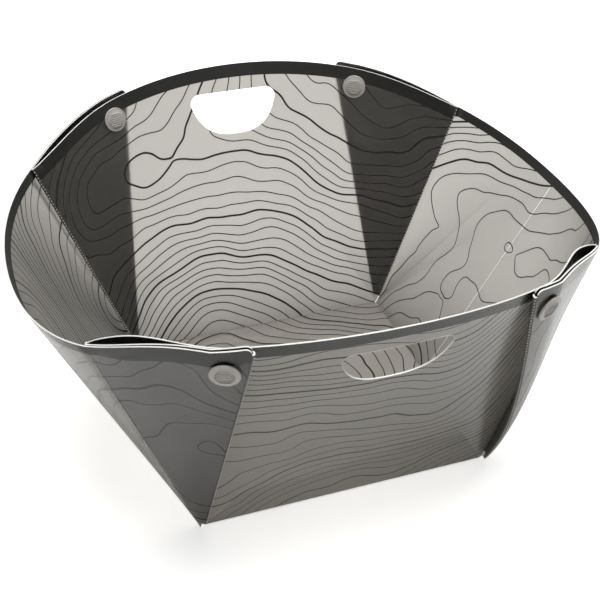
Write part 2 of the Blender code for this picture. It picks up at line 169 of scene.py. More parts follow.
# %% Distance of each layer outside the wall
SNAP_FROM_FOLD = 9.3 * MM
SNAP_BELOW_RIM = 15.3 * MM
SNAP_STACK = 3.9 * MM
SNAP_REACH = FRONT.reach(MOUNTAIN_ANGLE) - SNAP_BELOW_RIM
SNAP_ANGLE = MOUNTAIN_ANGLE + math.asin(SNAP_FROM_FOLD / SNAP_REACH)
PLEAT_OPENING = (SNAP_STACK + SHEET - 2 * LAYER) / SNAP_REACH
GUSSET_GAP = 0.7 * MM
RIM_TUCK = 1.7 * MM
# Shares of the pleat's width, from the inner fold: the mouth's widest point and its end, and
# where the flap is fully open and fully tucked
MOUTH_PEAK, MOUTH_END, OPEN_AT, TUCKED_AT = 0.3, 0.9, 0.8, 0.7
# Powers that move a bump's top to one side, or make its ends steeper or softer
MOUTH_POWER, LEAN_POWER, BOW_POWER, TUCK_POWER, RIM_POWER = 0.7, 1.3, 0.82, 1.5, 3
print("snap", round(SNAP_REACH / MM, 1), "mm from the base corner")


def pleat_share(angle):
    """0 at the inner fold, 1 at the outer fold."""
    return (VALLEY_ANGLE - angle) / PLEAT_WIDTH


def wall_lift(mouth):
    """Wall film, springing inwards by mouth at the rim beside the inner fold."""
    def lift(angle, reach):
        share = max(0.0, pleat_share(angle))
        bump = math.sin(math.pi / 2 * min(1.0, share / MOUTH_PEAK)) ** MOUTH_POWER
        bump *= 1.0 - smooth_step((share - MOUTH_PEAK) / (MOUTH_END - MOUTH_PEAK))
        return -mouth * bump * (reach / VALLEY_CREASE) ** RIM_POWER
    return lift


def flap_lift(lean, bow):
    """Flap film: held off by the snap, leaning in by lean before it, bowed out by bow below
    it, and with its free rim tucked in above it."""
    def lift(angle, reach):
        share = max(0.0, pleat_share(angle))
        opening = PLEAT_OPENING * reach * smooth_step(share / OPEN_AT)
        inwards = math.sin(math.pi * min(1.0, share / OPEN_AT) ** LEAN_POWER)
        lower = min(1.0, reach / SNAP_REACH)
        wave = math.sin(math.pi * lower ** BOW_POWER) * smooth_step(share)
        above = max(0.0, reach - SNAP_REACH) / SNAP_BELOW_RIM
        return (2 * LAYER + opening - lean * inwards * (reach / VALLEY_CREASE) ** RIM_POWER
                + bow * wave - RIM_TUCK * above ** TUCK_POWER * smooth_step(share / TUCKED_AT))
    return lift


def gusset_lift(lean, bow):
    outer = flap_lift(lean, bow)
    return lambda angle, reach: (outer(angle, reach) - LAYER
                                 - GUSSET_GAP * pleat_share(angle) * reach / VALLEY_CREASE)


def side_lift(angle, reach):
    """Side wall, easing outwards by two layers towards its seams with the flaps."""
    return 2 * LAYER * smooth_step((angle - SIDE.bend_start) / (SEAM_ANGLE - SIDE.bend_start))


# %% [markdown]
# ## Small helpers
# Colours are written as sRGB hex values, the way a colour card gives them, and one function
# turns them to the linear values that shaders want. Another adds any node, shader or geometry,
# with its settings and its links, so each tree below reads top to bottom. A third starts a
# material: what is the same all over its surface is set on the shader's own sockets.

# %% Colour, node and material helpers
SMOKE_GREY = "#8f8b85"


def hex_colour(code):
    channels = [int(code[i:i + 2], 16) / 255.0 for i in (1, 3, 5)]
    linear = [c / 12.92 if c <= 0.04045 else ((c + 0.055) / 1.055) ** 2.4 for c in channels]
    return (*linear, 1.0)


def plug(tree, node, inputs):
    """inputs maps a socket's name or number to a value, a node or another node's output."""
    for socket, value in inputs.items():
        if isinstance(value, bpy.types.Node):
            value = value.outputs[0]
        if isinstance(value, bpy.types.NodeSocket):
            tree.links.new(value, node.inputs[socket])
        else:
            node.inputs[socket].default_value = value


def add_node(tree, kind, inputs=None, **settings):
    made = tree.nodes.new(kind)
    for name, value in settings.items():
        setattr(made, name, value)
    plug(tree, made, inputs or {})
    return made


def new_finish(name, constants):
    """A new material with these constants, its tree and its shader."""
    material = bpy.data.materials.new(name)
    material.use_nodes = True
    shader = material.node_tree.nodes["Principled BSDF"]
    plug(material.node_tree, shader, constants)
    return material, material.node_tree, shader


print("smoke grey is", [round(c, 3) for c in hex_colour(SMOKE_GREY)])

# %% [markdown]
# ## The printed lines
# The film is printed with flowing level lines, about 0.5 mm wide and 3 to 8 mm apart, every
# fifth one thicker. An image could hold them, but a formula stays sharp at any distance. A
# group gives each point of the flat sheet a height from seeded noise. The line mask is the
# distance to the nearest whole height, divided by the slope, so that a line keeps its width
# where the levels lie far apart. The slope comes from the same group read a little further on.

# %% Height group for the printed lines
UV_SHIFT = 0.5
SEED_OFFSET = 1.3
# How wide the swells and ripples are and how many lines high, and the sheet's even slope in
# lines for each metre
SWELL_SIZE, RIPPLE_SIZE = 166.667 * MM, 29.412 * MM
SWELL_LINES, RIPPLE_LINES = 43.0, 2.2
EVEN_SLOPE = (35.0, 70.0, 0.0)


def level_group():
    """Height of the printed level lines, in lines, at a point of the flat sheet in metres."""
    group = bpy.data.node_groups.new("printed_levels", "ShaderNodeTree")
    group.interface.new_socket("Point", in_out="INPUT", socket_type="NodeSocketVector")
    group.interface.new_socket("Height", in_out="OUTPUT", socket_type="NodeSocketFloat")
    start = add_node(group, "NodeGroupInput")
    wide = add_node(group, "ShaderNodeTexNoise", {"Vector": start, "Scale": 1.0 / SWELL_SIZE,
                    "Detail": 1.0, "Roughness": 0.35, "W": SEED_OFFSET}, noise_dimensions="4D")
    fine = add_node(group, "ShaderNodeTexNoise", {"Vector": start, "Scale": 1.0 / RIPPLE_SIZE,
                    "Detail": 1.0, "Roughness": 0.3, "W": SEED_OFFSET + 5.0},
                    noise_dimensions="4D")
    ramp = add_node(group, "ShaderNodeVectorMath", {0: start, 1: EVEN_SLOPE},
                    operation="DOT_PRODUCT")
    hills = add_node(group, "ShaderNodeMath", {0: wide, 1: SWELL_LINES,
                     2: ramp.outputs["Value"]}, operation="MULTIPLY_ADD")
    height = add_node(group, "ShaderNodeMath", {0: fine, 1: RIPPLE_LINES, 2: hills},
                      operation="MULTIPLY_ADD")
    add_node(group, "NodeGroupOutput", {"Height": height})
    return group


LEVELS = level_group()
print("height group:", len(LEVELS.nodes), "nodes")

# %% Mask of the printed lines
LINE_HALF, FIFTH_MORE, LINE_SOFT = 0.26 * MM, 0.28 * MM, 0.16 * MM
SLOPE_STEP = 0.4 * MM


def printed_lines(tree, point):
    """Mask of the printed lines: 1 on a line, 0 on clear film."""
    here = add_node(tree, "ShaderNodeGroup", {0: point}, node_tree=LEVELS)
    slopes = []
    for shift in ((SLOPE_STEP, 0.0, 0.0), (0.0, SLOPE_STEP, 0.0)):
        beside = add_node(tree, "ShaderNodeVectorMath", {0: point, 1: shift}, operation="ADD")
        there = add_node(tree, "ShaderNodeGroup", {0: beside}, node_tree=LEVELS)
        rise = add_node(tree, "ShaderNodeMath", {0: there, 1: here}, operation="SUBTRACT")
        slopes.append(add_node(tree, "ShaderNodeMath", {0: rise, 1: SLOPE_STEP},
                               operation="DIVIDE"))
    both = add_node(tree, "ShaderNodeCombineXYZ", {0: slopes[0], 1: slopes[1]})
    slope = add_node(tree, "ShaderNodeVectorMath", {0: both}, operation="LENGTH")
    level = add_node(tree, "ShaderNodeMath", {0: here}, operation="ROUND")
    off = add_node(tree, "ShaderNodeMath", {0: here, 1: level}, operation="SUBTRACT")
    size = add_node(tree, "ShaderNodeMath", {0: off}, operation="ABSOLUTE")
    distance = add_node(tree, "ShaderNodeMath", {0: size, 1: slope.outputs["Value"]},
                        operation="DIVIDE")
    fifth = add_node(tree, "ShaderNodeMath", {0: level, 1: 5.0}, operation="FLOORED_MODULO")
    is_fifth = add_node(tree, "ShaderNodeMath", {0: fifth, 1: 0.5}, operation="LESS_THAN")
    width = add_node(tree, "ShaderNodeMath", {0: is_fifth, 1: FIFTH_MORE, 2: LINE_HALF},
                     operation="MULTIPLY_ADD")
    fade = add_node(tree, "ShaderNodeMath", {0: width, 1: LINE_SOFT}, operation="ADD")
    return add_node(tree, "ShaderNodeMapRange", {"Value": distance, "From Min": width,
                    "From Max": fade, "To Min": 1.0, "To Max": 0.0},
                    interpolation_type="SMOOTHSTEP")


print("printed lines:", round(2 * LINE_HALF / MM, 2), "mm wide")

# %% [markdown]
# ## The film
# Polypropylene film with a fine matt emboss: light goes through it, but anything behind it
# blurs within a few millimetres. That is a rough transmission, with plastic's usual IOR of
# 1.49, and a grey base colour that tints what passes. The ink, for the lines and for the dark
# border along the rim, is near black and lets nothing through. A second map on each panel says
# how far a point is from the rim's arc: past length 1 it is border. The sheet was once folded
# for storage, and the film stayed whitened along that line, down the middle of the right wall.

# %% Printed film material
INK, WHITENED = "#1a1918", "#f2f0ec"
# The emboss is about 0.5 mm; at 1.1 mm it is as coarse as the render needs to show it.
EMBOSS_PITCH = 1.1 * MM
STORAGE_FOLD = 0.7 * MM
# Cloudy patches and how far they change the tone, how much darker the emboss's hollows are
# drawn as painted shade, and what clear film passes
CLOUD_SIZE = 16.667 * MM
CLOUD_DARK, CLOUD_LIGHT, EMBOSS_PAINTED_SHADE, CLEAR_PASSES = 0.97, 1.03, 0.955, 0.96


def printed_film(name, tint):
    """Smoke-grey polypropylene film, embossed matt, with printed level lines and border."""
    material, tree, shader = new_finish(name, {"Roughness": 0.58, "IOR": 1.49,
                                               "Specular IOR Level": 0.35})
    sheet_map = add_node(tree, "ShaderNodeUVMap", uv_map="sheet")
    point = add_node(tree, "ShaderNodeVectorMath", {0: sheet_map, 1: (UV_SHIFT, UV_SHIFT, 0.0)},
                     operation="SUBTRACT").outputs[0]
    lines = printed_lines(tree, point)
    rim_map = add_node(tree, "ShaderNodeUVMap", uv_map="rim")
    rim_reach = add_node(tree, "ShaderNodeVectorMath", {0: rim_map}, operation="LENGTH")
    border = add_node(tree, "ShaderNodeMath", {0: rim_reach.outputs["Value"], 1: 1.0},
                      operation="GREATER_THAN")
    ink = add_node(tree, "ShaderNodeMath", {0: lines, 1: border}, operation="MAXIMUM")
    diagonal = add_node(tree, "ShaderNodeVectorMath", {0: point, 1: (1.0, 1.0, 0.0)},
                        operation="DOT_PRODUCT")
    wave = add_node(tree, "ShaderNodeMath", {0: diagonal.outputs["Value"],
                    1: math.tau / EMBOSS_PITCH}, operation="MULTIPLY")
    emboss = add_node(tree, "ShaderNodeMath", {0: wave}, operation="SINE")
    # The emboss's hollows are drawn darker than its crests: painted shade.
    shade = add_node(tree, "ShaderNodeMapRange", {"Value": emboss, "From Min": -1.0,
                     "To Min": EMBOSS_PAINTED_SHADE, "To Max": 1.0})
    cloud = add_node(tree, "ShaderNodeTexNoise", {"Vector": point,
                     "Scale": 1.0 / CLOUD_SIZE, "Detail": 3.0})
    cloudy = add_node(tree, "ShaderNodeMapRange", {"Value": cloud, "To Min": CLOUD_DARK,
                      "To Max": CLOUD_LIGHT})
    tone = add_node(tree, "ShaderNodeMath", {0: shade, 1: cloudy}, operation="MULTIPLY")
    clear = add_node(tree, "ShaderNodeVectorMath", {0: hex_colour(tint)[:3], 3: tone},
                     operation="SCALE")
    across = add_node(tree, "ShaderNodeSeparateXYZ", {0: point})
    offset = add_node(tree, "ShaderNodeMath", {0: across.outputs["Y"]}, operation="ABSOLUTE")
    near = add_node(tree, "ShaderNodeMath", {0: offset, 1: STORAGE_FOLD / 2},
                    operation="LESS_THAN")
    right = add_node(tree, "ShaderNodeMath", {0: across.outputs["X"], 1: HALF_X},
                     operation="GREATER_THAN")
    folded = add_node(tree, "ShaderNodeMath", {0: near, 1: right}, operation="MULTIPLY")
    clear = add_node(tree, "ShaderNodeMix", {"Factor": folded, "A": clear.outputs[0],
                     "B": hex_colour(WHITENED)[:3]}, data_type="VECTOR").outputs[1]
    colour = add_node(tree, "ShaderNodeMix", {"Factor": ink, "A": clear,
                      "B": hex_colour(INK)[:3]}, data_type="VECTOR")
    passes = add_node(tree, "ShaderNodeMapRange", {"Value": ink, "To Min": CLEAR_PASSES,
                      "To Max": 0.0})
    bump = add_node(tree, "ShaderNodeBump", {"Height": emboss, "Strength": 0.06,
                    "Distance": 0.05 * MM})
    plug(tree, shader, {"Base Color": colour.outputs[1], "Transmission Weight": passes,
                        "Normal": bump})
    return material


# The wall film passes about half of the light. In a pleat the light crosses three films and
# is lost between them, in more bounces than are rendered, so the middle one, the gusset, has
# a near black tint: that darkness is painted shade.
FILM = printed_film("smoke_polypropylene_printed_side", SMOKE_GREY)
PLEAT_FILM_PAINTED_SHADE = printed_film("smoke_polypropylene_painted_pleat_shade", "#292725")
print("film material:", len(FILM.node_tree.nodes), "nodes")

# %% [markdown]
# ## The glossy side
# The sheet is printed and embossed on the side that is the bowl's inside. The other side is
# smooth, as it came off the polished roller: a low roughness, so that it mirrors the table
# softly and turns nearly white where it is seen edge-on. The print shows through from behind.

# %% Glossy side material
STREAK_LENGTH, WAVE_SIZE = 50.0 * MM, 22.222 * MM
STREAK_WIDTH = STREAK_LENGTH / 12


def glossy_side():
    """Outer side of the film: roller-polished, with faint waviness and flow streaks."""
    material, tree, shader = new_finish("smoke_polypropylene_polished_side", {
        "Transmission Weight": 1.0, "Roughness": 0.25, "IOR": 1.49, "Specular IOR Level": 0.25})
    sheet_map = add_node(tree, "ShaderNodeUVMap", uv_map="sheet")
    stretched = add_node(tree, "ShaderNodeMapping", {"Vector": sheet_map,
                         "Scale": (1.0 / STREAK_WIDTH, 1.0 / STREAK_LENGTH, 1.0)})
    streaks = add_node(tree, "ShaderNodeTexNoise", {"Vector": stretched, "Scale": 1.0,
                       "Detail": 2.0})
    tone = add_node(tree, "ShaderNodeMix", {"Factor": streaks, "A": hex_colour("#ebe9e6")[:3],
                    "B": hex_colour("#faf9f7")[:3]}, data_type="VECTOR")
    wave = add_node(tree, "ShaderNodeTexNoise", {"Vector": sheet_map,
                    "Scale": 1.0 / WAVE_SIZE, "Detail": 1.0})
    bump = add_node(tree, "ShaderNodeBump", {"Height": wave, "Strength": 0.1,
                    "Distance": 0.3 * MM})
    plug(tree, shader, {"Base Color": tone.outputs[1], "Normal": bump})
    return material


GLOSS = glossy_side()
print("polished side:", len(GLOSS.node_tree.nodes), "nodes")

# %% [markdown]
# ## Cut edges and creases
# A die-cut edge of translucent plastic glows: light that entered the sheet leaves it there,
# so every rim and hand hole has a bright hair line. That glow is painted light, a near white
# colour on the edge faces. Where polypropylene is creased sharply it turns pale, because the
# plastic fills with tiny voids. Both are nearly white, the edge smoother and the crease a
# little greyer and rougher. The wide round folds of the pleats stay grey: the outer ones
# shine, the inner ones are duller.

# %% Edge and crease materials
def mottled(tree, place, size, code, dark, light):
    """A colour that wanders between dark and light times its value, in patches of a size."""
    noise = add_node(tree, "ShaderNodeTexNoise", {"Vector": place.outputs["Object"],
                     "Scale": 1.0 / size, "Detail": 2.0})
    colour = hex_colour(code)[:3]
    return add_node(tree, "ShaderNodeMix", {
        "Factor": noise, "A": [dark * c for c in colour], "B": [light * c for c in colour]},
        data_type="VECTOR").outputs[1]


def edge_plastic(name, code, roughness, grain):
    """Polypropylene that scatters light where it was cut or folded, a little unevenly; on a cut
    edge the near white is painted glow.
    """
    material, tree, shader = new_finish(name, {"Roughness": roughness, "IOR": 1.49})
    place = add_node(tree, "ShaderNodeTexCoord")
    plug(tree, shader, {"Base Color": mottled(tree, place, grain, code, 0.72, 1.0)})
    return material


# The cut edge's near white is painted light: the glow of light leaving the sheet's edge.
CUT_EDGE_PAINTED_GLOW = edge_plastic("die_cut_edge_painted_glow", "#eceae6", 0.35, 2.0 * MM)
CREASE_WHITE = edge_plastic("stress_whitened_crease", "#e2dfda", 0.5, 1.2 * MM)
OUTER_CREASE = edge_plastic("outer_fold_of_smoke_film", "#4d4a47", 0.28, 3.0 * MM)
INNER_CREASE = edge_plastic("inner_fold_of_smoke_film", "#4c4a47", 0.4, 3.0 * MM)
# The finish of a panel's printed side, and whether that side is drawn below (-1) or above (1)
WALL_FILMS, GUSSET_FILMS = (FILM, -1), (PLEAT_FILM_PAINTED_SHADE, 1)
print("edge finishes:", [m.name for m in (CUT_EDGE_PAINTED_GLOW, CREASE_WHITE, OUTER_CREASE, INNER_CREASE)])

# %% [markdown]
# ## A panel as it lies flat
# Each panel starts as an outline on the flat sheet. The outline is filled with faces, then
# scored along the lines that it will bend on, close enough together that the bend looks
# round. Then it gets its thickness. Its border edges differ: a cut edge has a fine chamfer, a
# crease ends in a wedge, as a scoring rule leaves it, and an edge that carries on into a
# fold or the next panel stays square.

# %% Flat outlines
CORNER_RELIEF = 1.2 * MM
PLEAT_RELIEF = 5.0 * MM
BEND_STEP = math.radians(1.3)
ROUND_CORNER = math.radians(4.0)


def spread(first, last, count):
    return [first + (last - first) * i / count for i in range(count + 1)]


def bend_angles(first, last):
    return spread(first, last, math.ceil(abs(last - first) / BEND_STEP))


def polar(wall, angle, reach):
    """Flat point on the line at this angle from the wall's left base corner."""
    return -wall.half + reach * math.cos(angle), reach * math.sin(angle)


def rounded_corner(before, corner, after, radius, steps=10):
    first, second = (before - corner).normalized(), (after - corner).normalized()
    half = first.angle(second) / 2
    centre = corner + (first + second).normalized() * radius / math.sin(half)
    start = corner + first * radius / math.tan(half) - centre
    end = corner + second * radius / math.tan(half) - centre
    return [tuple(centre + start.lerp(end, share).normalized() * radius)
            for share in spread(0.0, 1.0, steps)]


def wall_outline(wall, end_angle):
    left = [(-wall.half + CORNER_RELIEF, 0.0), polar(wall, end_angle, CORNER_RELIEF)]
    left += [polar(wall, a, wall.reach(a)) for a in bend_angles(end_angle, wall.bend_start)[:-1]]
    right = [(-across, height) for across, height in reversed(left)]
    return left + [(0.0, wall.rise)] + right


def pleat_outline():
    """Gusset and flap share this outline, because they are folded onto each other."""
    angles = bend_angles(VALLEY_ANGLE, MOUNTAIN_ANGLE)
    rims = [FRONT.reach(a) + RIM_RISE * smooth_step(pleat_share(a)) for a in angles]
    keep = [i for i, a in enumerate(angles) if a > MOUNTAIN_ANGLE + ROUND_CORNER]
    points = [polar(FRONT, VALLEY_ANGLE, PLEAT_RELIEF)]
    points += [polar(FRONT, angles[i], rims[i]) for i in keep]
    top = Vector(polar(FRONT, MOUNTAIN_ANGLE, rims[-1]))
    bottom = Vector(polar(FRONT, MOUNTAIN_ANGLE, PLEAT_RELIEF))
    before = Vector(polar(FRONT, angles[-2], rims[-2]))
    arc = rounded_corner(before, top, bottom, PLEAT_ROUND)
    return points + arc + [tuple(bottom)], (Vector(arc[-1]) - Vector((-HALF_X, 0.0))).length


PLEAT_POINTS, FOLD_TOP = pleat_outline()
print("outer fold ends", round(FOLD_TOP / MM, 1), "mm from the corner")

# %% [markdown]
# ## Holes
# Each hand hole is a letter D lying on its back, so that the rim above it stays an even strip
# for the fingers. The pleats have round holes where the snap's posts go through.

# %% Holes
HAND_WIDTH = 56.0 * MM
HAND_DEPTH = 27.0 * MM
HAND_BELOW_RIM = 16.5 * MM
HAND_CORNER = 6.0 * MM
# Where the side of the D ends, in half widths and depths, and the powers that round its belly
SHOULDER_OUT, SHOULDER_DOWN = 0.97, 0.45
BELLY_FROM, BELLY_WIDE, BELLY_DEEP = 0.12, 0.75, 1.05
POST_HOLE = 1.7 * MM
GUSSET_HOLE = 6.3 * MM


def hand_hole():
    """Straight top edge, rounded corners, and a full round below."""
    top, half = FRONT_RISE - HAND_BELOW_RIM, HAND_WIDTH / 2
    shoulder = Vector((half * SHOULDER_OUT, top - HAND_DEPTH * SHOULDER_DOWN))
    right = rounded_corner(Vector((0.0, top)), Vector((half, top)), shoulder, HAND_CORNER)
    for turn in spread(BELLY_FROM, 0.5, 24)[:-1]:
        width = half * math.cos(turn * math.pi) ** BELLY_WIDE
        right.append((width, top - HAND_DEPTH * math.sin(turn * math.pi) ** BELLY_DEEP))
    left = [(-across, height) for across, height in reversed(right)]
    return right + [(0.0, top - HAND_DEPTH)] + left


def round_hole(side, radius, steps=32):
    across, height = polar(FRONT, SNAP_ANGLE, SNAP_REACH)
    turns = [math.tau * i / steps for i in range(steps)]
    return [(side * across + radius * math.cos(t), height + radius * math.sin(t)) for t in turns]


print("hand hole:", len(hand_hole()), "points")

# %% Fill and score a panel
def score_lines(wall, angles):
    """Where a wall bends: lines from its left base corner, and the same from its right one."""
    left = [(Vector((-wall.half, 0.0, 0.0)), a) for a in angles]
    right = [(Vector((wall.half, 0.0, 0.0)), math.pi - a) for a in angles]
    return left + right


def flat_panel(outline, holes, bends):
    flat = bmesh.new()
    for loop in [outline] + holes:
        verts = [flat.verts.new((x, y, 0.0)) for x, y in loop]
        for i, vert in enumerate(verts):
            flat.edges.new((verts[i - 1], vert))
    bmesh.ops.triangle_fill(flat, use_beauty=True, edges=flat.edges[:])
    for origin, angle in bends:
        across = Vector((-math.sin(angle), math.cos(angle), 0.0))
        geometry = flat.verts[:] + flat.edges[:] + flat.faces[:]
        bmesh.ops.bisect_plane(flat, geom=geometry, dist=1e-7, plane_co=origin, plane_no=across)
    flat.normal_update()
    down = [face for face in flat.faces if face.normal.z < 0.0]
    bmesh.ops.reverse_faces(flat, faces=down)
    return flat


print("front wall bends at", 2 * len(bend_angles(VALLEY_ANGLE, FRONT.bend_start)[1:]), "lines")

# %% Thicken a panel
FILM_FACE, CUT_FACE, SCORE_FACE, GLOSS_FACE = 0, 1, 2, 3
CUT, SCORE, PLAIN = "cut", "score", "plain"
# For each kind of edge: inset of the faces, inset of the side, half the side's height
EDGE_SHAPE = {
    CUT: (0.12 * MM, 0.0, SHEET / 2 - 0.12 * MM),
    SCORE: (0.30 * MM, 0.02 * MM, 0.12 * MM),
    PLAIN: (0.01 * MM, 0.0, SHEET / 2 - 0.01 * MM),
}
EDGE_FACE = {CUT: CUT_FACE, SCORE: SCORE_FACE, PLAIN: FILM_FACE}
NEARLY_STRAIGHT = 0.05


def inset_point(vert, sides, which):
    """Moves a border point inwards so that it keeps each of its two edges' own inset."""
    (first, a), (second, b) = sides
    a, b = EDGE_SHAPE[a][which], EDGE_SHAPE[b][which]
    bend = first.x * second.y - first.y * second.x
    if abs(bend) < NEARLY_STRAIGHT:
        return vert.co.xy - (a + b) / 2 * (first + second).normalized()
    return vert.co.xy + Vector((b * first.y - a * second.y, a * second.x - b * first.x)) / bend


def thicken(flat, edge_kind, printed_side):
    """Gives a flat panel its thickness, with a border shaped by the kind of each edge.
    printed_side is 1 where the print is on the upper side, and -1 where it is below."""
    slab = bmesh.new()
    kind_layer = slab.faces.layers.int.new("kind")
    sides, border = {}, []
    for edge in flat.edges:
        if edge.is_boundary:
            loop = edge.link_loops[0]
            start, end = loop.vert, loop.link_loop_next.vert
            run = (end.co - start.co).xy.normalized()
            kind = edge_kind((start.co.xy + end.co.xy) / 2)
            border.append((start, end, kind))
            for vert in (start, end):
                sides.setdefault(vert, []).append((Vector((run.y, -run.x)), kind))
    rings = {}
    for vert in flat.verts:
        if vert not in sides:
            rings[vert] = [slab.verts.new((*vert.co.xy, z)) for z in (SHEET / 2, -SHEET / 2)]
            continue
        face, side = (inset_point(vert, sides[vert], which) for which in (0, 1))
        rise = max(EDGE_SHAPE[kind][2] for _, kind in sides[vert])
        places = [(face, SHEET / 2), (side, rise), (side, -rise), (face, -SHEET / 2)]
        rings[vert] = [slab.verts.new((*place, z)) for place, z in places]
    upper_kind, lower_kind = (FILM_FACE, GLOSS_FACE)[::printed_side]
    for face in flat.faces:
        slab.faces.new([rings[v][0] for v in face.verts])[kind_layer] = upper_kind
        slab.faces.new([rings[v][-1] for v in reversed(face.verts)])[kind_layer] = lower_kind
    for start, end, kind in border:
        for upper, lower in ((0, 1), (1, 2), (2, 3)):
            corners = [rings[start][upper], rings[start][lower],
                       rings[end][lower], rings[end][upper]]
            slab.faces.new(corners)[kind_layer] = EDGE_FACE[kind]
    flat.free()
    return slab


print("bevel of a cut edge:", round(EDGE_SHAPE[CUT][0] / MM, 2), "mm")

# %% [markdown]
# ## The maps that the print follows
# The lines are printed before the sheet is folded, so they run on across every crease. Each
# panel gets a map, called sheet, with its place on the flat sheet. The gusset and the flap
# are drawn folded, so their places are first turned back round the corner. The second map,
# rim, holds the place from the centre of the rim's arc, in units of the border's inner radius.

# %% Sheet and rim maps
FRONT_BORDER = 8.3 * MM
SIDE_BORDER = 5.8 * MM
FLAP_BORDER = 9.3 * MM
BORDER_WIDENS = 0.3


def front_place(across, height):
    return across, -HALF_Y - height


def left_place(across, height):
    return -HALF_X - height, across


def unfolded(turned_angle):
    """Place on the sheet of a pleat point, from its folded place on the front wall."""
    def place(across, height):
        run = across + HALF_X
        angle = turned_angle(math.atan2(height, run))
        reach = math.hypot(height, run)
        return -HALF_X + reach * math.cos(angle), -HALF_Y - reach * math.sin(angle)
    return place


gusset_place = unfolded(lambda angle: 2 * VALLEY_ANGLE - angle)
flap_place = unfolded(lambda angle: angle + 2 * PLEAT_WIDTH)


def front_border(angle):
    """Width of the border at an angle, and how far the rim stands above the wall's arc. The
    angle is not used.
    """
    return FRONT_BORDER, 0.0


def side_border(angle):
    return SIDE_BORDER, 0.0


def gusset_border(angle):
    share = pleat_share(angle)
    return FRONT_BORDER + share * (FLAP_BORDER - FRONT_BORDER), RIM_RISE * smooth_step(share)


def flap_border(angle):
    """Starts as narrow as the side wall's border and soon widens to the flap's own."""
    share = pleat_share(angle)
    width = SIDE_BORDER + smooth_step(share / BORDER_WIDENS) * (FLAP_BORDER - SIDE_BORDER)
    return width, RIM_RISE * smooth_step(share)


def rim_place(wall, point, border):
    """Place from the rim arc's centre, scaled so that the border starts at length 1."""
    width, rise = border(math.atan2(point.y, wall.half - abs(point.x)))
    from_centre = point - wall.rim_centre
    return from_centre * (1.0 - rise / from_centre.length) / (wall.rim_radius - width)


def map_and_lift(slab, wall, place, lift, border):
    """Writes both maps, then lifts each point to its layer."""
    sheet_map = slab.loops.layers.uv.new("sheet")
    rim_map = slab.loops.layers.uv.new("rim")
    for face in slab.faces:
        for loop in face.loops:
            point = loop.vert.co.xy
            x, y = place(*point)
            loop[sheet_map].uv = (x + UV_SHIFT, y + UV_SHIFT)
            loop[rim_map].uv = rim_place(wall, point, border)
    for vert in slab.verts:
        run = wall.half - abs(vert.co.x)
        vert.co.z += lift(math.atan2(vert.co.y, run), math.hypot(vert.co.y, run))


print("border:", round(FRONT_BORDER / MM, 1), "mm wide on the front wall")

# %% [markdown]
# ## The tree that folds a panel
# Folding is a rule, so a geometry tree can do it. For every point of the flat panel it works
# out the angle and the distance from the base corner, turns the wall's frame round the cone
# by the roll that the angle asks for, and puts the point back at its distance. One tree folds
# every wall, gusset and flap; its inputs are the sizes and directions from the fold rule.

# %% Fold tree
def group_inputs(tree, sockets):
    for name, kind in sockets.items():
        tree.interface.new_socket(name, in_out="INPUT", socket_type="NodeSocket" + kind)
    tree.interface.new_socket("Geometry", in_out="OUTPUT", socket_type="NodeSocketGeometry")
    return add_node(tree, "NodeGroupInput").outputs


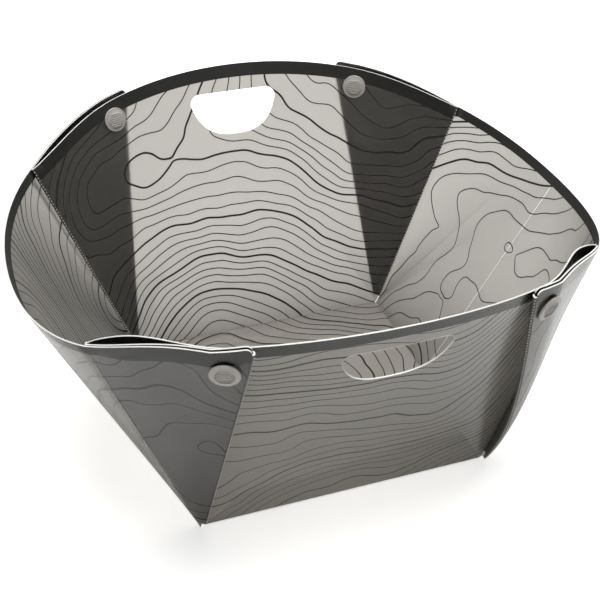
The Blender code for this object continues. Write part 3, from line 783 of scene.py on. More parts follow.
def fold_tree():
    tree = bpy.data.node_groups.new("fold_a_panel", "GeometryNodeTree")
    given = group_inputs(tree, {
        "Geometry": "Geometry", "Half Crease": "Float", "Bend Start": "Float",
        "Roll Rate": "Float", "Tip": "Vector", "Along": "Vector", "Up": "Vector",
        "Outward": "Vector", "Cone Axis": "Vector", "Film": "Material",
        "Cut Edge Painted Glow": "Material", "Crease": "Material", "Gloss Side": "Material"})
    place = add_node(tree, "GeometryNodeInputPosition")
    parts = add_node(tree, "ShaderNodeSeparateXYZ", {0: place})
    across, height, out = parts.outputs
    offset = add_node(tree, "ShaderNodeMath", {0: across}, operation="ABSOLUTE")
    run = add_node(tree, "ShaderNodeMath", {0: given["Half Crease"], 1: offset},
                   operation="SUBTRACT")
    angle = add_node(tree, "ShaderNodeMath", {0: height, 1: run}, operation="ARCTAN2")
    corner = add_node(tree, "ShaderNodeCombineXYZ", {0: run, 1: height})
    reach = add_node(tree, "ShaderNodeVectorMath", {0: corner}, operation="LENGTH")
    flat_angle = add_node(tree, "ShaderNodeMath", {0: angle, 1: given["Bend Start"]},
                          operation="MINIMUM")
    bend = add_node(tree, "ShaderNodeMath", {0: angle, 1: flat_angle}, operation="SUBTRACT")
    roll = add_node(tree, "ShaderNodeMath", {0: bend, 1: given["Roll Rate"]},
                    operation="MULTIPLY")
    cosine = add_node(tree, "ShaderNodeMath", {0: flat_angle}, operation="COSINE")
    sine = add_node(tree, "ShaderNodeMath", {0: flat_angle}, operation="SINE")
    level = add_node(tree, "ShaderNodeVectorMath", {0: given["Along"], 3: cosine},
                     operation="SCALE")
    line = add_node(tree, "ShaderNodeVectorMath", {0: given["Up"], 1: sine, 2: level},
                    operation="MULTIPLY_ADD")
    turned = [add_node(tree, "ShaderNodeVectorRotate", {"Vector": vector, "Angle": roll,
                       "Axis": given["Cone Axis"]}) for vector in (line, given["Outward"])]
    along_line = add_node(tree, "ShaderNodeVectorMath", {0: turned[0],
                          3: reach.outputs["Value"]}, operation="SCALE")
    off_wall = add_node(tree, "ShaderNodeVectorMath", {0: turned[1], 3: out},
                        operation="SCALE")
    from_tip = add_node(tree, "ShaderNodeVectorMath", {0: along_line, 1: off_wall},
                        operation="ADD")
    left = add_node(tree, "ShaderNodeVectorMath", {0: from_tip, 1: given["Tip"]},
                    operation="ADD")
    sideways = add_node(tree, "ShaderNodeVectorMath", {0: left, 1: given["Along"]},
                        operation="DOT_PRODUCT")
    on_right = add_node(tree, "ShaderNodeMath", {0: across, 1: 0.0}, operation="GREATER_THAN")
    twice = add_node(tree, "ShaderNodeMath", {0: on_right, 1: -2.0}, operation="MULTIPLY")
    swap = add_node(tree, "ShaderNodeMath", {0: sideways.outputs["Value"], 1: twice},
                    operation="MULTIPLY")
    moved = add_node(tree, "ShaderNodeVectorMath", {0: given["Along"], 1: swap, 2: left},
                     operation="MULTIPLY_ADD")
    shape = add_node(tree, "GeometryNodeSetPosition", {"Geometry": given["Geometry"],
                     "Position": moved})
    smooth = add_node(tree, "GeometryNodeSetShadeSmooth", {0: shape})
    shape = add_node(tree, "GeometryNodeRealizeInstances", {0: smooth})
    kind = add_node(tree, "GeometryNodeInputNamedAttribute", {"Name": "kind"}, data_type="INT")
    shape = add_node(tree, "GeometryNodeSetMaterial", {0: shape, "Material": given["Film"]})
    for number, finish in ((CUT_FACE, "Cut Edge Painted Glow"), (SCORE_FACE, "Crease"),
                           (GLOSS_FACE, "Gloss Side")):
        same = add_node(tree, "FunctionNodeCompare", {2: kind, 3: number}, data_type="INT",
                        operation="EQUAL")
        shape = add_node(tree, "GeometryNodeSetMaterial", {0: shape, "Selection": same,
                         "Material": given[finish]})
    add_node(tree, "NodeGroupOutput", {0: shape})
    return tree


FOLD = fold_tree()
print("fold tree:", len(FOLD.nodes), "nodes")

# %% Run a tree on a mesh
def run_tree(tree, source, values):
    """Runs a geometry tree on a mesh and gives back the plain mesh that it makes."""
    holder = bpy.data.objects.new("holder", source)
    bpy.context.scene.collection.objects.link(holder)
    modifier = holder.modifiers.new(tree.name, "NODES")
    modifier.node_group = tree
    for item in tree.interface.items_tree:
        if item.in_out == "INPUT" and item.name in values:
            modifier[item.identifier] = values[item.name]
    graph = bpy.context.evaluated_depsgraph_get()
    made = bpy.data.meshes.new_from_object(holder.evaluated_get(graph),
                                           preserve_all_data_layers=True, depsgraph=graph)
    bpy.data.objects.remove(holder)
    return made


def fold_values(wall, film):
    return {"Half Crease": wall.half, "Bend Start": wall.bend_start,
            "Roll Rate": wall.turn / math.sin(wall.cone), "Tip": wall.tip,
            "Along": wall.along, "Up": wall.up, "Outward": wall.outward,
            "Cone Axis": wall.axis, "Film": film, "Cut Edge Painted Glow": CUT_EDGE_PAINTED_GLOW,
            "Crease": CREASE_WHITE, "Gloss Side": GLOSS}


def finished_mesh(name, shape, materials=()):
    """Turns a bmesh into a mesh with these materials."""
    mesh = bpy.data.meshes.new(name)
    shape.to_mesh(mesh)
    shape.free()
    for material in materials:
        mesh.materials.append(material)
    return mesh


print("front wall's cone:", round(math.degrees(FRONT.cone), 1), "degrees")

# %% [markdown]
# ## Pieces in the scene
# The bowl is the same at its four corners, so a piece is made once, for the front or the
# front left, and mirrored for the others. Mirroring turns faces inside out, so they are
# turned back. Its place on the sheet is mirrored as well, and the print stays one design
# over the whole sheet, different at each corner.

# %% Put a mesh in the scene
SHARP_EDGE = math.radians(30.0)


def place_piece(name, mesh, mirror, body):
    """Adds one piece, mirrored where mirror is -1, that rides on a body if one is named."""
    copy = mesh.copy()
    shape = bmesh.new()
    shape.from_mesh(copy)
    for vert in shape.verts:
        vert.co = Vector(c * m for c, m in zip(vert.co, mirror))
    if math.prod(mirror) < 0:
        bmesh.ops.reverse_faces(shape, faces=shape.faces[:])
    sheet_map = shape.loops.layers.uv.get("sheet")
    if sheet_map:
        for face in shape.faces:
            for loop in face.loops:
                u, v = loop[sheet_map].uv
                loop[sheet_map].uv = (UV_SHIFT + (u - UV_SHIFT) * mirror[0],
                                      UV_SHIFT + (v - UV_SHIFT) * mirror[1])
    shape.to_mesh(copy)
    shape.free()
    copy.set_sharp_from_angle(angle=SHARP_EDGE)
    piece = bpy.data.objects.new(name, copy)
    bpy.context.scene.collection.objects.link(piece)
    if body:
        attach(piece, body)
    return piece


print("pieces are mirrored about a sheet centre at map place", UV_SHIFT)

# %% [markdown]
# ## Front and back wall
# These are the inner layer at the corners. Each has the hand hole and two small holes for
# the snap posts. The lower edge is a score, the two ends carry on into the pleats' inner
# folds, and all the rest is cut.

# %% Which edges are scored, cut or carried on
NEAR = 0.25 * MM


def on_line(wall, angle, point):
    """True for a flat point on the line at this angle from either base corner."""
    line = Vector((math.cos(angle), math.sin(angle)))
    from_tip = Vector((wall.half - abs(point.x), point.y))
    return abs(from_tip.x * line.y - from_tip.y * line.x) < NEAR


def front_edges(point):
    if point.y < NEAR:
        return SCORE
    return PLAIN if on_line(FRONT, VALLEY_ANGLE, point) else CUT


def side_edges(point):
    if point.y < NEAR:
        return SCORE
    return PLAIN if on_line(SIDE, SEAM_ANGLE, point) else CUT


def pleat_edges(point):
    folds = (VALLEY_ANGLE, MOUNTAIN_ANGLE)
    return PLAIN if any(on_line(FRONT, angle, point) for angle in folds) else CUT


# How each corner springs: its mirroring, the wall's mouth, and the flap's lean and bow
CORNERS = {
    "front_left": ((1, 1, 1), 6.5 * MM, (3.5 * MM, 0.0)),
    "front_right": ((-1, 1, 1), 5.0 * MM, (3.2 * MM, 8.0 * MM)),
    "back_left": ((1, -1, 1), 4.0 * MM, (1.0 * MM, 0.0)),
    "back_right": ((-1, -1, 1), 4.0 * MM, (1.0 * MM, 0.0)),
}
print("edge kinds:", list(EDGE_SHAPE), "corners:", list(CORNERS))

# %% Build the front and back wall
CROSS_STEPS = 12
MOUTH_FROM, MOUTH_TO = 0.35 * FRONT_RISE, 0.93 * VALLEY_CREASE


def cross_lines(angle, first, last):
    """Cuts square to a crease, which let the film curve along its length as well."""
    lines = []
    for reach in spread(first, last, CROSS_STEPS):
        origin = Vector((*polar(FRONT, angle, reach), 0.0))
        lines.append((origin, angle + math.pi / 2))
    return lines


def folded_film(name, flat, edges, wall, place, lift, border, films=WALL_FILMS):
    """Thickens, maps and folds one flat panel, and gives back its finished mesh."""
    film, printed_side = films
    slab = thicken(flat, edges, printed_side)
    map_and_lift(slab, wall, place, lift, border)
    mesh = run_tree(FOLD, finished_mesh(name, slab), fold_values(wall, film))
    if wall.turn > 0.0:
        mesh.flip_normals()
    return mesh


mouth_lines = cross_lines((VALLEY_ANGLE + MOUNTAIN_ANGLE) / 2, MOUTH_FROM, MOUTH_TO)
mouth_lines += [(Vector((-o.x, o.y, 0.0)), math.pi - a) for o, a in mouth_lines]
front_bends = score_lines(FRONT, bend_angles(VALLEY_ANGLE, FRONT.bend_start)[1:])
for name, corner in (("front_wall", "front_left"), ("back_wall", "back_left")):
    mirror, mouth, _ = CORNERS[corner]
    holes = [hand_hole(), round_hole(1, POST_HOLE), round_hole(-1, POST_HOLE)]
    flat = flat_panel(wall_outline(FRONT, VALLEY_ANGLE), holes, front_bends + mouth_lines)
    mesh = folded_film(name, flat, front_edges, FRONT, front_place, wall_lift(mouth),
                       front_border)
    piece = place_piece(name + "_film", mesh, mirror, name)
    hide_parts(name)
    print(name, len(mesh.polygons), "faces")

# %% [markdown]
# ## Left and right wall
# The side walls carry on past the corner as the flaps. They ease outwards towards each end,
# because there they lie outside the front wall by two layers of film.

# %% Build the side walls
side_bends = score_lines(SIDE, bend_angles(SEAM_ANGLE, SIDE.bend_start)[1:])
flat = flat_panel(wall_outline(SIDE, SEAM_ANGLE), [], side_bends)
side_mesh = folded_film("side_wall", flat, side_edges, SIDE, left_place, side_lift, side_border)
for name, mirror in (("left_wall", (1, 1, 1)), ("right_wall", (-1, 1, 1))):
    piece = place_piece(name + "_film", side_mesh, mirror, name)
    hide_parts(name)
print("side wall:", len(side_mesh.polygons), "faces")

# %% [markdown]
# ## Gussets and flaps
# The two pleat panels share an outline. The gusset has a hole that clears the snap, the flap
# a small hole for the cap's post. Each corner springs by its own amount, so each has its own
# pair, shaped as the front left pair and mirrored to its place.

# %% Build the pleats
# For each: its hole, its place on the sheet, its layer, its border and its films
PLEAT_PANELS = {
    "gusset": (GUSSET_HOLE, gusset_place, gusset_lift, gusset_border, GUSSET_FILMS),
    "flap": (POST_HOLE, flap_place, flap_lift, flap_border, WALL_FILMS),
}
pleat_bends = [(Vector((-HALF_X, 0.0, 0.0)), angle)
               for angle in bend_angles(VALLEY_ANGLE, MOUNTAIN_ANGLE)[1:-1]]
pleat_bends += cross_lines(MOUNTAIN_ANGLE, PLEAT_RELIEF, 0.9 * FOLD_TOP)
for corner, (mirror, _, spring) in CORNERS.items():
    for panel, (hole, place, lift, border, films) in PLEAT_PANELS.items():
        flat = flat_panel(PLEAT_POINTS, [round_hole(1, hole)], pleat_bends)
        body = f"{corner}_{panel}"
        mesh = folded_film(body, flat, pleat_edges, FRONT, place, lift(*spring), border, films)
        piece = place_piece(body + "_film", mesh, mirror, body)
        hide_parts(body)
print("pleat panel:", len(mesh.polygons), "faces")

# %% [markdown]
# ## Base
# The base stays flat. Its four edges are scores, and a small relief is cut off each corner
# where the creases meet.

# %% Build the base
quarter = [(HALF_X, HALF_Y - CORNER_RELIEF), (HALF_X - CORNER_RELIEF, HALF_Y)]
outline = quarter + [(-x, y) for x, y in reversed(quarter)]
outline += [(-x, -y) for x, y in quarter] + [(x, -y) for x, y in reversed(quarter)]
slab = thicken(flat_panel(outline, [], []), lambda point: SCORE, 1)
sheet_map = slab.loops.layers.uv.new("sheet")
slab.loops.layers.uv.new("rim")
for face in slab.faces:
    for loop in face.loops:
        loop[sheet_map].uv = loop.vert.co.xy + Vector((UV_SHIFT, UV_SHIFT))
for vert in slab.verts:
    vert.co.z += SHEET / 2
base_mesh = finished_mesh("base_film", slab, (FILM, CUT_EDGE_PAINTED_GLOW, CREASE_WHITE, GLOSS))
for face, kind in zip(base_mesh.polygons, base_mesh.attributes["kind"].data):
    face.material_index = kind.value
base = place_piece("base_film", base_mesh, (1, 1, 1), "base")
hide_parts("base_panel")
print("base:", len(base_mesh.polygons), "faces")

# %% [markdown]
# ## The folds of a pleat
# Where two layers turn into each other the film makes a tight round fold, a half tube about
# 2 mm across. It follows its crease line, so it is lofted from a few sections. It crosses a
# hinge, and it is put in place fixed, on neither of the two bodies that it joins. The creases
# are perforated so that the film folds there: each bridge between two slits shows as a small
# pale dash, a little to the visible side of the fold's crest.

# %% Perforation tree
def dash_tree():
    tree = bpy.data.node_groups.new("perforated_crease", "GeometryNodeTree")
    given = group_inputs(tree, {
        "Geometry": "Geometry", "Pitch": "Float", "Dash Length": "Float",
        "Dash Width": "Float", "Bridge": "Material"})
    line = add_node(tree, "GeometryNodeMeshToCurve", {0: given["Geometry"]})
    even = add_node(tree, "GeometryNodeResampleCurve", {"Curve": line,
                    "Length": given["Pitch"]}, mode="LENGTH")
    along = add_node(tree, "GeometryNodeInputTangent")
    turn = add_node(tree, "FunctionNodeAlignRotationToVector", {"Vector": along}, axis="X")
    dash = add_node(tree, "GeometryNodeMeshUVSphere", {"Segments": 6, "Rings": 4,
                    "Radius": 0.5})
    size = add_node(tree, "ShaderNodeCombineXYZ", {0: given["Dash Length"],
                    1: given["Dash Width"], 2: given["Dash Width"]})
    row = add_node(tree, "GeometryNodeInstanceOnPoints", {"Points": even, "Instance": dash,
                   "Rotation": turn, "Scale": size})
    solid = add_node(tree, "GeometryNodeRealizeInstances", {0: row})
    painted = add_node(tree, "GeometryNodeSetMaterial", {0: solid,
                       "Material": given["Bridge"]})
    add_node(tree, "NodeGroupOutput", {0: painted})
    return tree


DASHES = dash_tree()
print("perforation tree:", len(DASHES.nodes), "nodes")

# %% Dashes along a line
DASH_PITCH, DASH_LENGTH, DASH_WIDTH = 2.1 * MM, 0.9 * MM, 0.7 * MM


def dashes_along(points):
    line = bpy.data.meshes.new("crease_line")
    line.from_pydata(points, [(i, i + 1) for i in range(len(points) - 1)], [])
    return run_tree(DASHES, line, {"Pitch": DASH_PITCH, "Dash Length": DASH_LENGTH,
                                   "Dash Width": DASH_WIDTH, "Bridge": CREASE_WHITE})


print("a dash every", round(DASH_PITCH / MM, 1), "mm")

# %% Round folds
FOLD_STEPS = 10
FOLD_SECTIONS = 24
BRIDGE_TURN = math.radians(35.0)


def fold_rings(angle, inner, outer, side, reaches):
    """Sections of a half tube beyond a crease line, and the line that its dashes follow."""
    direction, outward = FRONT.frame(angle)
    beyond = side * FRONT.turn * direction.cross(outward).normalized()
    rings, crest = [], []
    for reach in reaches:
        start, end = inner(angle, reach), outer(angle, reach)
        middle = FRONT.tip + reach * direction + (start + end) / 2 * outward
        radii = ((end - start + SHEET) / 2, (end - start - SHEET) / 2)
        turns = spread(0.0, math.pi, FOLD_STEPS)
        ring = [middle + radii[0] * (math.sin(t) * beyond - math.cos(t) * outward)
                for t in turns]
        ring += [middle + radii[1] * (math.sin(t) * beyond - math.cos(t) * outward)
                 for t in reversed(turns)]
        rings.append(ring)
        crest.append(middle + radii[0] * (math.cos(BRIDGE_TURN) * beyond
                                          - side * math.sin(BRIDGE_TURN) * outward))
    return rings, crest


def round_fold(name, rings, crest, finish):
    """Closed half tube through the sections, with its row of dashes."""
    shape = bmesh.new()
    rows = [[shape.verts.new(point) for point in ring] for ring in rings]
    for before, after in zip(rows, rows[1:]):
        for i in range(len(before)):
            shape.faces.new([before[i - 1], before[i], after[i], after[i - 1]])
    shape.faces.new(rows[0])
    shape.faces.new(rows[-1]).material_index = 1
    bmesh.ops.recalc_face_normals(shape, faces=shape.faces[:])
    for face in shape.faces:
        face.smooth = True
    tube = len(shape.faces)
    shape.from_mesh(dashes_along(crest))
    for i, face in enumerate(shape.faces):
        if i >= tube:
            face.material_index, face.smooth = 2, True
    return finished_mesh(name, shape, (finish, CUT_EDGE_PAINTED_GLOW, CREASE_WHITE))


def mirrored(point, mirror):
    return Vector(c * m for c, m in zip(point, mirror))


for corner, (mirror, mouth, spring) in CORNERS.items():
    wall, gusset, flap = corner.split("_")[0] + "_wall", corner + "_gusset", corner + "_flap"
    folds = (("inner_fold", VALLEY_ANGLE, wall_lift(mouth), gusset_lift(*spring), 1.0,
              FRONT.reach(VALLEY_ANGLE), wall, gusset, INNER_CREASE),
             ("outer_fold", MOUNTAIN_ANGLE, gusset_lift(*spring), flap_lift(*spring), -1.0,
              FOLD_TOP, gusset, flap, OUTER_CREASE))
    for name, angle, inner, outer, side, top, first, second, finish in folds:
        rings, crest = fold_rings(angle, inner, outer, side,
                                  spread(PLEAT_RELIEF, top, FOLD_SECTIONS))
        mesh = round_fold(name, rings, crest, finish)
        piece = place_piece(f"{corner}_{name}", mesh, mirror, None)
        start, end = (mirrored(FRONT.point(angle, top / 2, lift(angle, top / 2)), mirror)
                      for lift in (inner, outer))
        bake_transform(piece)
print("fold piece:", len(mesh.polygons), "faces")

# %% [markdown]
# ## Fold line of the right wall
# The right wall has a straight line down its middle, from the rim to the base, where the sheet
# has been folded for storage. Inside, it is the whitened line of the film's own finish. Outside
# it stands up as a ridge, and it is too slight to turn on, so a thin prism will do.

# %% Build the fold line
RIDGE_WIDTH = 0.8 * MM
RIDGE_PROUD = 0.14 * MM
RIDGE_SUNK = 0.3 * SHEET
RIDGE_FROM, RIDGE_TO = 0.6 * MM, SIDE.rise - 0.3 * MM
ridge = bmesh.new()
ridge_sections = []
for height in spread(RIDGE_FROM, RIDGE_TO, 8):
    point = SIDE.tip + SIDE.half * SIDE.along + height * SIDE.up
    ridge_sections.append([ridge.verts.new(point + across * SIDE.along + out * SIDE.outward)
                           for across, out in ((-RIDGE_WIDTH / 2, RIDGE_SUNK),
                                               (RIDGE_WIDTH / 2, RIDGE_SUNK),
                                               (0.0, SHEET / 2 + RIDGE_PROUD))])
for before, after in zip(ridge_sections, ridge_sections[1:]):
    for i in range(3):
        ridge.faces.new([before[i - 1], before[i], after[i], after[i - 1]])
for section in (ridge_sections[0], ridge_sections[-1]):
    ridge.faces.new(section)
bmesh.ops.recalc_face_normals(ridge, faces=ridge.faces[:])
ridge_mesh = finished_mesh("storage_fold_line", ridge, [GLOSS])
place_piece("right_wall_fold_line", ridge_mesh, (-1, 1, 1), "right_wall")
print("ridge:", round((RIDGE_TO - RIDGE_FROM) / MM), "mm long")

# %% [markdown]
# ## Snap caps
# The caps are moulded acetal: a low dome inside a flat ring, with plain grip ribs across the
# dome. The cap is turned from half its profile. The ribs repeat across the face and shorten
# towards its edge, so a geometry tree sets them out and joins them to the cap. The studs and
# sockets of the CAD model are right as they are, and only get the same finish.

# %% Snap material
MOTTLE, SPARK_GRAIN = 2.5 * MM, 0.35 * MM


def moulded_acetal(name, code):
    """Grey acetal from a fine-sparked mould: a soft sheen, with faint mottling."""
    material, tree, shader = new_finish(name, {"Roughness": 0.48, "IOR": 1.48})
    place = add_node(tree, "ShaderNodeTexCoord")
    tone = mottled(tree, place, MOTTLE, code, 0.9, 1.08)
    grain = add_node(tree, "ShaderNodeTexNoise", {"Vector": place.outputs["Object"],
                     "Scale": 1.0 / SPARK_GRAIN, "Detail": 2.0})
    bump = add_node(tree, "ShaderNodeBump", {"Height": grain, "Strength": 0.25,
                    "Distance": 0.05 * MM})
    plug(tree, shader, {"Base Color": tone, "Normal": bump})
    return material


SNAP = moulded_acetal("spark_textured_acetal", "#b6b2ab")
snap_nodes = [node for name, node in frame["nodes"].items()
              if name.endswith(("_stud", "_socket"))]
for node in snap_nodes:
    node.data.materials.clear()
    node.data.materials.append(SNAP)
print("studs and sockets:", len(snap_nodes))

# %% Rib tree
def rib_tree():
    tree = bpy.data.node_groups.new("grip_ribs", "GeometryNodeTree")
    given = group_inputs(tree, {
        "Geometry": "Geometry", "Face Radius": "Float", "Rib Pitch": "Float",
        "Rib Width": "Float", "Rib Height": "Float", "Face Height": "Float",
        "Material": "Material"})
    reach = add_node(tree, "ShaderNodeMath", {0: given["Face Radius"], 1: given["Rib Pitch"]},
                     operation="SUBTRACT")
    back = add_node(tree, "ShaderNodeMath", {0: reach, 1: -1.0}, operation="MULTIPLY")
    start = add_node(tree, "ShaderNodeCombineXYZ", {1: back, 2: given["Face Height"]})
    end = add_node(tree, "ShaderNodeCombineXYZ", {1: reach, 2: given["Face Height"]})
    steps = add_node(tree, "ShaderNodeMath", {0: reach, 1: given["Rib Pitch"]},
                     operation="DIVIDE")
    number = add_node(tree, "ShaderNodeMath", {0: steps, 1: 2.0, 2: 1.0},
                      operation="MULTIPLY_ADD")
    row = add_node(tree, "GeometryNodeMeshLine", {"Count": number, "Start Location": start,
                   "Offset": end}, mode="END_POINTS")
    place = add_node(tree, "GeometryNodeInputPosition")
    parts = add_node(tree, "ShaderNodeSeparateXYZ", {0: place})
    radius_squared = add_node(tree, "ShaderNodeMath", {0: given["Face Radius"], 1: 2.0},
                              operation="POWER")
    off_squared = add_node(tree, "ShaderNodeMath", {0: parts.outputs[1], 1: 2.0},
                           operation="POWER")
    left = add_node(tree, "ShaderNodeMath", {0: radius_squared, 1: off_squared},
                    operation="SUBTRACT")
    half_length = add_node(tree, "ShaderNodeMath", {0: left}, operation="SQRT")
    size = add_node(tree, "ShaderNodeCombineXYZ", {0: half_length, 1: given["Rib Width"],
                    2: given["Rib Height"]})
    rib = add_node(tree, "GeometryNodeMeshUVSphere", {"Segments": 16, "Rings": 8, "Radius": 1.0})
    ribs = add_node(tree, "GeometryNodeInstanceOnPoints", {"Points": row, "Instance": rib,
                    "Scale": size})
    both = add_node(tree, "GeometryNodeJoinGeometry", {0: given["Geometry"]})
    tree.links.new(ribs.outputs[0], both.inputs[0])
    solid = add_node(tree, "GeometryNodeRealizeInstances", {0: both})
    smooth = add_node(tree, "GeometryNodeSetShadeSmooth", {0: solid})
    painted = add_node(tree, "GeometryNodeSetMaterial", {0: smooth,
                       "Material": given["Material"]})
    add_node(tree, "NodeGroupOutput", {0: painted})
    return tree


RIBS = rib_tree()
print("rib tree:", len(RIBS.nodes), "nodes")

# %% Build the caps
CAP_RADIUS = 7.25 * MM
CAP_EDGE = 1.3 * MM
CAP_CROWN = 2.1 * MM
CAP_LIP = 0.9 * MM
CAP_ROUND = 0.3 * MM
CAP_BEVEL = 0.35 * MM
CAP_FACE = 0.96 * CAP_EDGE
CAP_UNDER = 0.3 * MM
RIB_REACH, RIB_PITCH, RIB_WIDTH = 4.9 * MM, 1.1 * MM, 0.28 * MM
RIB_HEIGHT, RIB_SUNK = 0.55 * MM, 0.35 * MM
POST_RADIUS = 1.4 * MM
POST_HEAD_RADIUS = 1.9 * MM
POST_HEAD = 0.4 * MM
FLAP_GRIP = SHEET + 1.5 * MM
WALL_GRIP = SHEET + 1.8 * MM


def cap_profile(grip):
    """Half section of a cap from the post's head, over the edge, to the crown."""
    face, edge = CAP_RADIUS - CAP_LIP, CAP_RADIUS - CAP_ROUND
    profile = [(0.0, -grip), (POST_HEAD_RADIUS, -grip), (POST_HEAD_RADIUS, POST_HEAD - grip),
               (POST_RADIUS, POST_HEAD - grip), (POST_RADIUS, CAP_UNDER), (edge, CAP_UNDER)]
    for turn in spread(-math.pi / 2, math.pi / 2, 6):
        profile.append((edge + CAP_ROUND * math.cos(turn),
                        CAP_UNDER + CAP_EDGE / 2 * (1.0 + math.sin(turn))))
    profile.append((face + CAP_BEVEL, CAP_UNDER + CAP_EDGE))
    profile.append((face, CAP_UNDER + CAP_FACE))
    for share in spread(1.0, 0.0, 8)[1:]:
        rise = CAP_FACE + (CAP_CROWN - CAP_FACE) * (1.0 - share ** 2)
        profile.append((share * face, CAP_UNDER + rise))
    return profile


def turned(profile, steps=48):
    shape = bmesh.new()
    verts = [shape.verts.new((radius, 0.0, height)) for radius, height in profile]
    edges = [shape.edges.new(pair) for pair in zip(verts, verts[1:])]
    bmesh.ops.spin(shape, geom=verts + edges, cent=(0, 0, 0), axis=(0, 0, 1),
                   angle=math.tau, steps=steps, use_merge=True)
    bmesh.ops.remove_doubles(shape, verts=shape.verts[:], dist=1e-6)
    bmesh.ops.recalc_face_normals(shape, faces=shape.faces[:])
    return finished_mesh("turned_cap", shape)


def build_cap(grip, base, outward):
    """A cap with its ribs, whose underside stands on the base point."""
    mesh = run_tree(RIBS, turned(cap_profile(grip)), {
        "Face Radius": RIB_REACH, "Rib Pitch": RIB_PITCH, "Rib Width": RIB_WIDTH,
        "Rib Height": RIB_HEIGHT, "Face Height": CAP_UNDER + CAP_CROWN - RIB_SUNK,
        "Material": SNAP})
    spin = outward.to_track_quat("Z", "Y").to_matrix().to_4x4()
    mesh.transform(Matrix.Translation(base) @ spin)
    return mesh


print("half section of a cap:", len(cap_profile(FLAP_GRIP)), "points")

# %% Place the caps
direction, outward = FRONT.frame(SNAP_ANGLE)
on_wall = FRONT.tip + SNAP_REACH * direction
on_flap = on_wall + flap_lift(0.0, 0.0)(SNAP_ANGLE, SNAP_REACH) * outward
outer_cap = build_cap(FLAP_GRIP, on_flap + SHEET / 2 * outward, outward)
inner_cap = build_cap(WALL_GRIP, on_wall - SHEET / 2 * outward, -outward)
for corner, (mirror, _, _) in CORNERS.items():
    wall = corner.split("_")[0] + "_wall"
    outer = place_piece(f"{corner}_outer_cap_ribbed", outer_cap, mirror, f"{corner}_flap")
    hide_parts(f"{corner}_outer_cap")
    inner = place_piece(f"{corner}_inner_cap_ribbed", inner_cap, mirror, wall)
    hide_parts(f"{corner}_inner_cap")
print("cap faces:", len(outer_cap.polygons))

# %% [markdown]
# ## Floor and light
# A plain white table, a dim even surround and two soft lamps light the film, a large one from
# above and a weak one from behind, which makes the walls glow. The background has to be white,
# and more light would bleach the bowl, so the floor glows a little instead, for the rays that
# show it: the camera's own, and far from the bowl those that pass the film or reflect in it.
# Near the bowl the glow is weaker, so that its soft shadow stays. The surround is white for
# the same rays.

# %% Floor
FLOOR_HALF = 6.0
# Metres from the middle where the glow starts to rise and where it is full
GLOW_FROM, MIRROR_GLOW_FROM, GLOW_TO = 0.3, 0.7, 1.6
NEAR_GLOW = 0.55
floor_mesh = bpy.data.meshes.new("floor")
corners = [(FLOOR_HALF * x, FLOOR_HALF * y, 0) for x, y in ((-1, -1), (1, -1), (1, 1), (-1, 1))]
floor_mesh.from_pydata(corners, [], [(0, 1, 2, 3)])
floor = bpy.data.objects.new("floor", floor_mesh)
bpy.context.scene.collection.objects.link(floor)
FLOOR, tree, shader = new_finish("white_table_laminate", {
    "Base Color": hex_colour("#f2f2f0"), "Roughness": 0.6,
    "Emission Color": hex_colour("#ffffff")})
rays = add_node(tree, "ShaderNodeLightPath")
place = add_node(tree, "ShaderNodeTexCoord")
away = add_node(tree, "ShaderNodeVectorMath", {0: place.outputs["Object"]}, operation="LENGTH")
seen = add_node(tree, "ShaderNodeMapRange", {"Value": away.outputs["Value"],
                "From Min": GLOW_FROM, "From Max": GLOW_TO, "To Min": NEAR_GLOW, "To Max": 1.0})
mirrored_far = add_node(tree, "ShaderNodeMapRange", {"Value": away.outputs["Value"],
                        "From Min": MIRROR_GLOW_FROM, "From Max": GLOW_TO,
                        "To Min": 0.0, "To Max": 1.0})
through = add_node(tree, "ShaderNodeMath", {0: rays.outputs["Is Glossy Ray"],
                   1: rays.outputs["Is Transmission Ray"]}, operation="MAXIMUM")
through = add_node(tree, "ShaderNodeMath", {0: through, 1: mirrored_far},
                   operation="MULTIPLY")
glow = add_node(tree, "ShaderNodeMath", {0: rays.outputs["Is Camera Ray"], 1: seen,
                2: through}, operation="MULTIPLY_ADD")
plug(tree, shader, {"Emission Strength": glow})
floor_mesh.materials.append(FLOOR)
print("floor:", 2 * FLOOR_HALF, "m wide")

# %% World and lamps
SURROUND = 0.1
scene = bpy.context.scene
scene.view_settings.view_transform = "Standard"
world = bpy.data.worlds.new("white_surround")
scene.world = world
world.use_nodes = True
tree = world.node_tree
rays = add_node(tree, "ShaderNodeLightPath")
shown = add_node(tree, "ShaderNodeMath", {0: rays.outputs["Is Glossy Ray"],
                 1: rays.outputs["Is Transmission Ray"]}, operation="MAXIMUM")
shown = add_node(tree, "ShaderNodeMath", {0: rays.outputs["Is Camera Ray"], 1: shown},
                 operation="MAXIMUM")
strength = add_node(tree, "ShaderNodeMapRange", {"Value": shown, "To Min": SURROUND,
                    "To Max": 1.0})
plug(tree, tree.nodes["Background"], {"Color": hex_colour("#ffffff"), "Strength": strength})


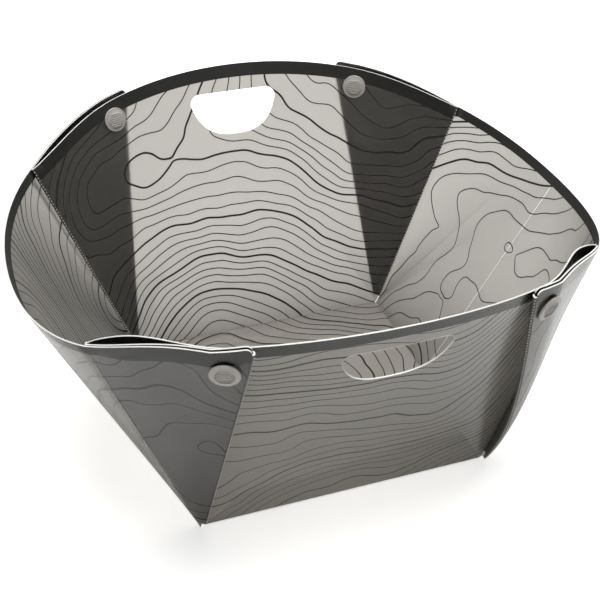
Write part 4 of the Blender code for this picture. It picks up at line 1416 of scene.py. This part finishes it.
def soft_lamp(name, place, target, size, power):
    lamp = bpy.data.lights.new(name, "AREA")
    lamp.shape, lamp.size, lamp.energy = "SQUARE", size, power
    holder = bpy.data.objects.new(name, lamp)
    aim = (Vector(place) - Vector(target)).to_track_quat("Z", "Y").to_matrix().to_4x4()
    holder.matrix_world = Matrix.Translation(place) @ aim
    scene.collection.objects.link(holder)


BOWL_MIDDLE = (0.0, 0.0, 0.08)
soft_lamp("top_softbox", (0.1, 0.05, 1.5), BOWL_MIDDLE, 1.2, 31.5)
soft_lamp("back_softbox", (0.5, 1.1, 0.9), BOWL_MIDDLE, 0.9, 4.5)
print("lamps:", [lamp.name for lamp in bpy.data.lights])

# %% [markdown]
# ## Camera
# The camera was worked out from the photograph: the corners of the base, the ends of the
# creases, the snaps and the hand holes all fall where they do in the picture. Angles are in
# degrees, lengths in half base widths, and the picture is taken as 600 pixels wide.

# %% Camera
AZIMUTH, ELEVATION, ROLL = (math.radians(a) for a in (-20.4055, 34.7566, 1.2955))
DISTANCE, ASIDE, ABOVE = (HALF_X * d for d in (8.6003, 0.1465, 0.8631))
PIXELS, FOCAL, CENTRE_X, CENTRE_Y = 600.0, 1155.85, 322.57, 283.90
SENSOR = 36.0
back = Vector((math.sin(AZIMUTH) * math.cos(ELEVATION),
               -math.cos(AZIMUTH) * math.cos(ELEVATION), math.sin(ELEVATION)))
right = Vector((math.cos(AZIMUTH), math.sin(AZIMUTH), 0.0))
up = back.cross(right)
eye = right * ASIDE + up * ABOVE + back * DISTANCE + SHEET / 2 * Z_AXIS
rolled_right = right * math.cos(ROLL) + up * math.sin(ROLL)
rolled_up = up * math.cos(ROLL) - right * math.sin(ROLL)
lens = bpy.data.cameras.new("camera")
lens.sensor_width = SENSOR
lens.lens = FOCAL / PIXELS * SENSOR
lens.shift_x = 0.5 - CENTRE_X / PIXELS
lens.shift_y = CENTRE_Y / PIXELS - 0.5
lens.clip_start = 0.01
camera = bpy.data.objects.new("camera", lens)
axes = Matrix((rolled_right, rolled_up, back)).transposed().to_4x4()
camera.matrix_world = Matrix.Translation(eye) @ axes
scene.collection.objects.link(camera)
scene.camera = camera
print("lens", round(lens.lens, 1), "mm, eye", [round(c, 3) for c in eye])
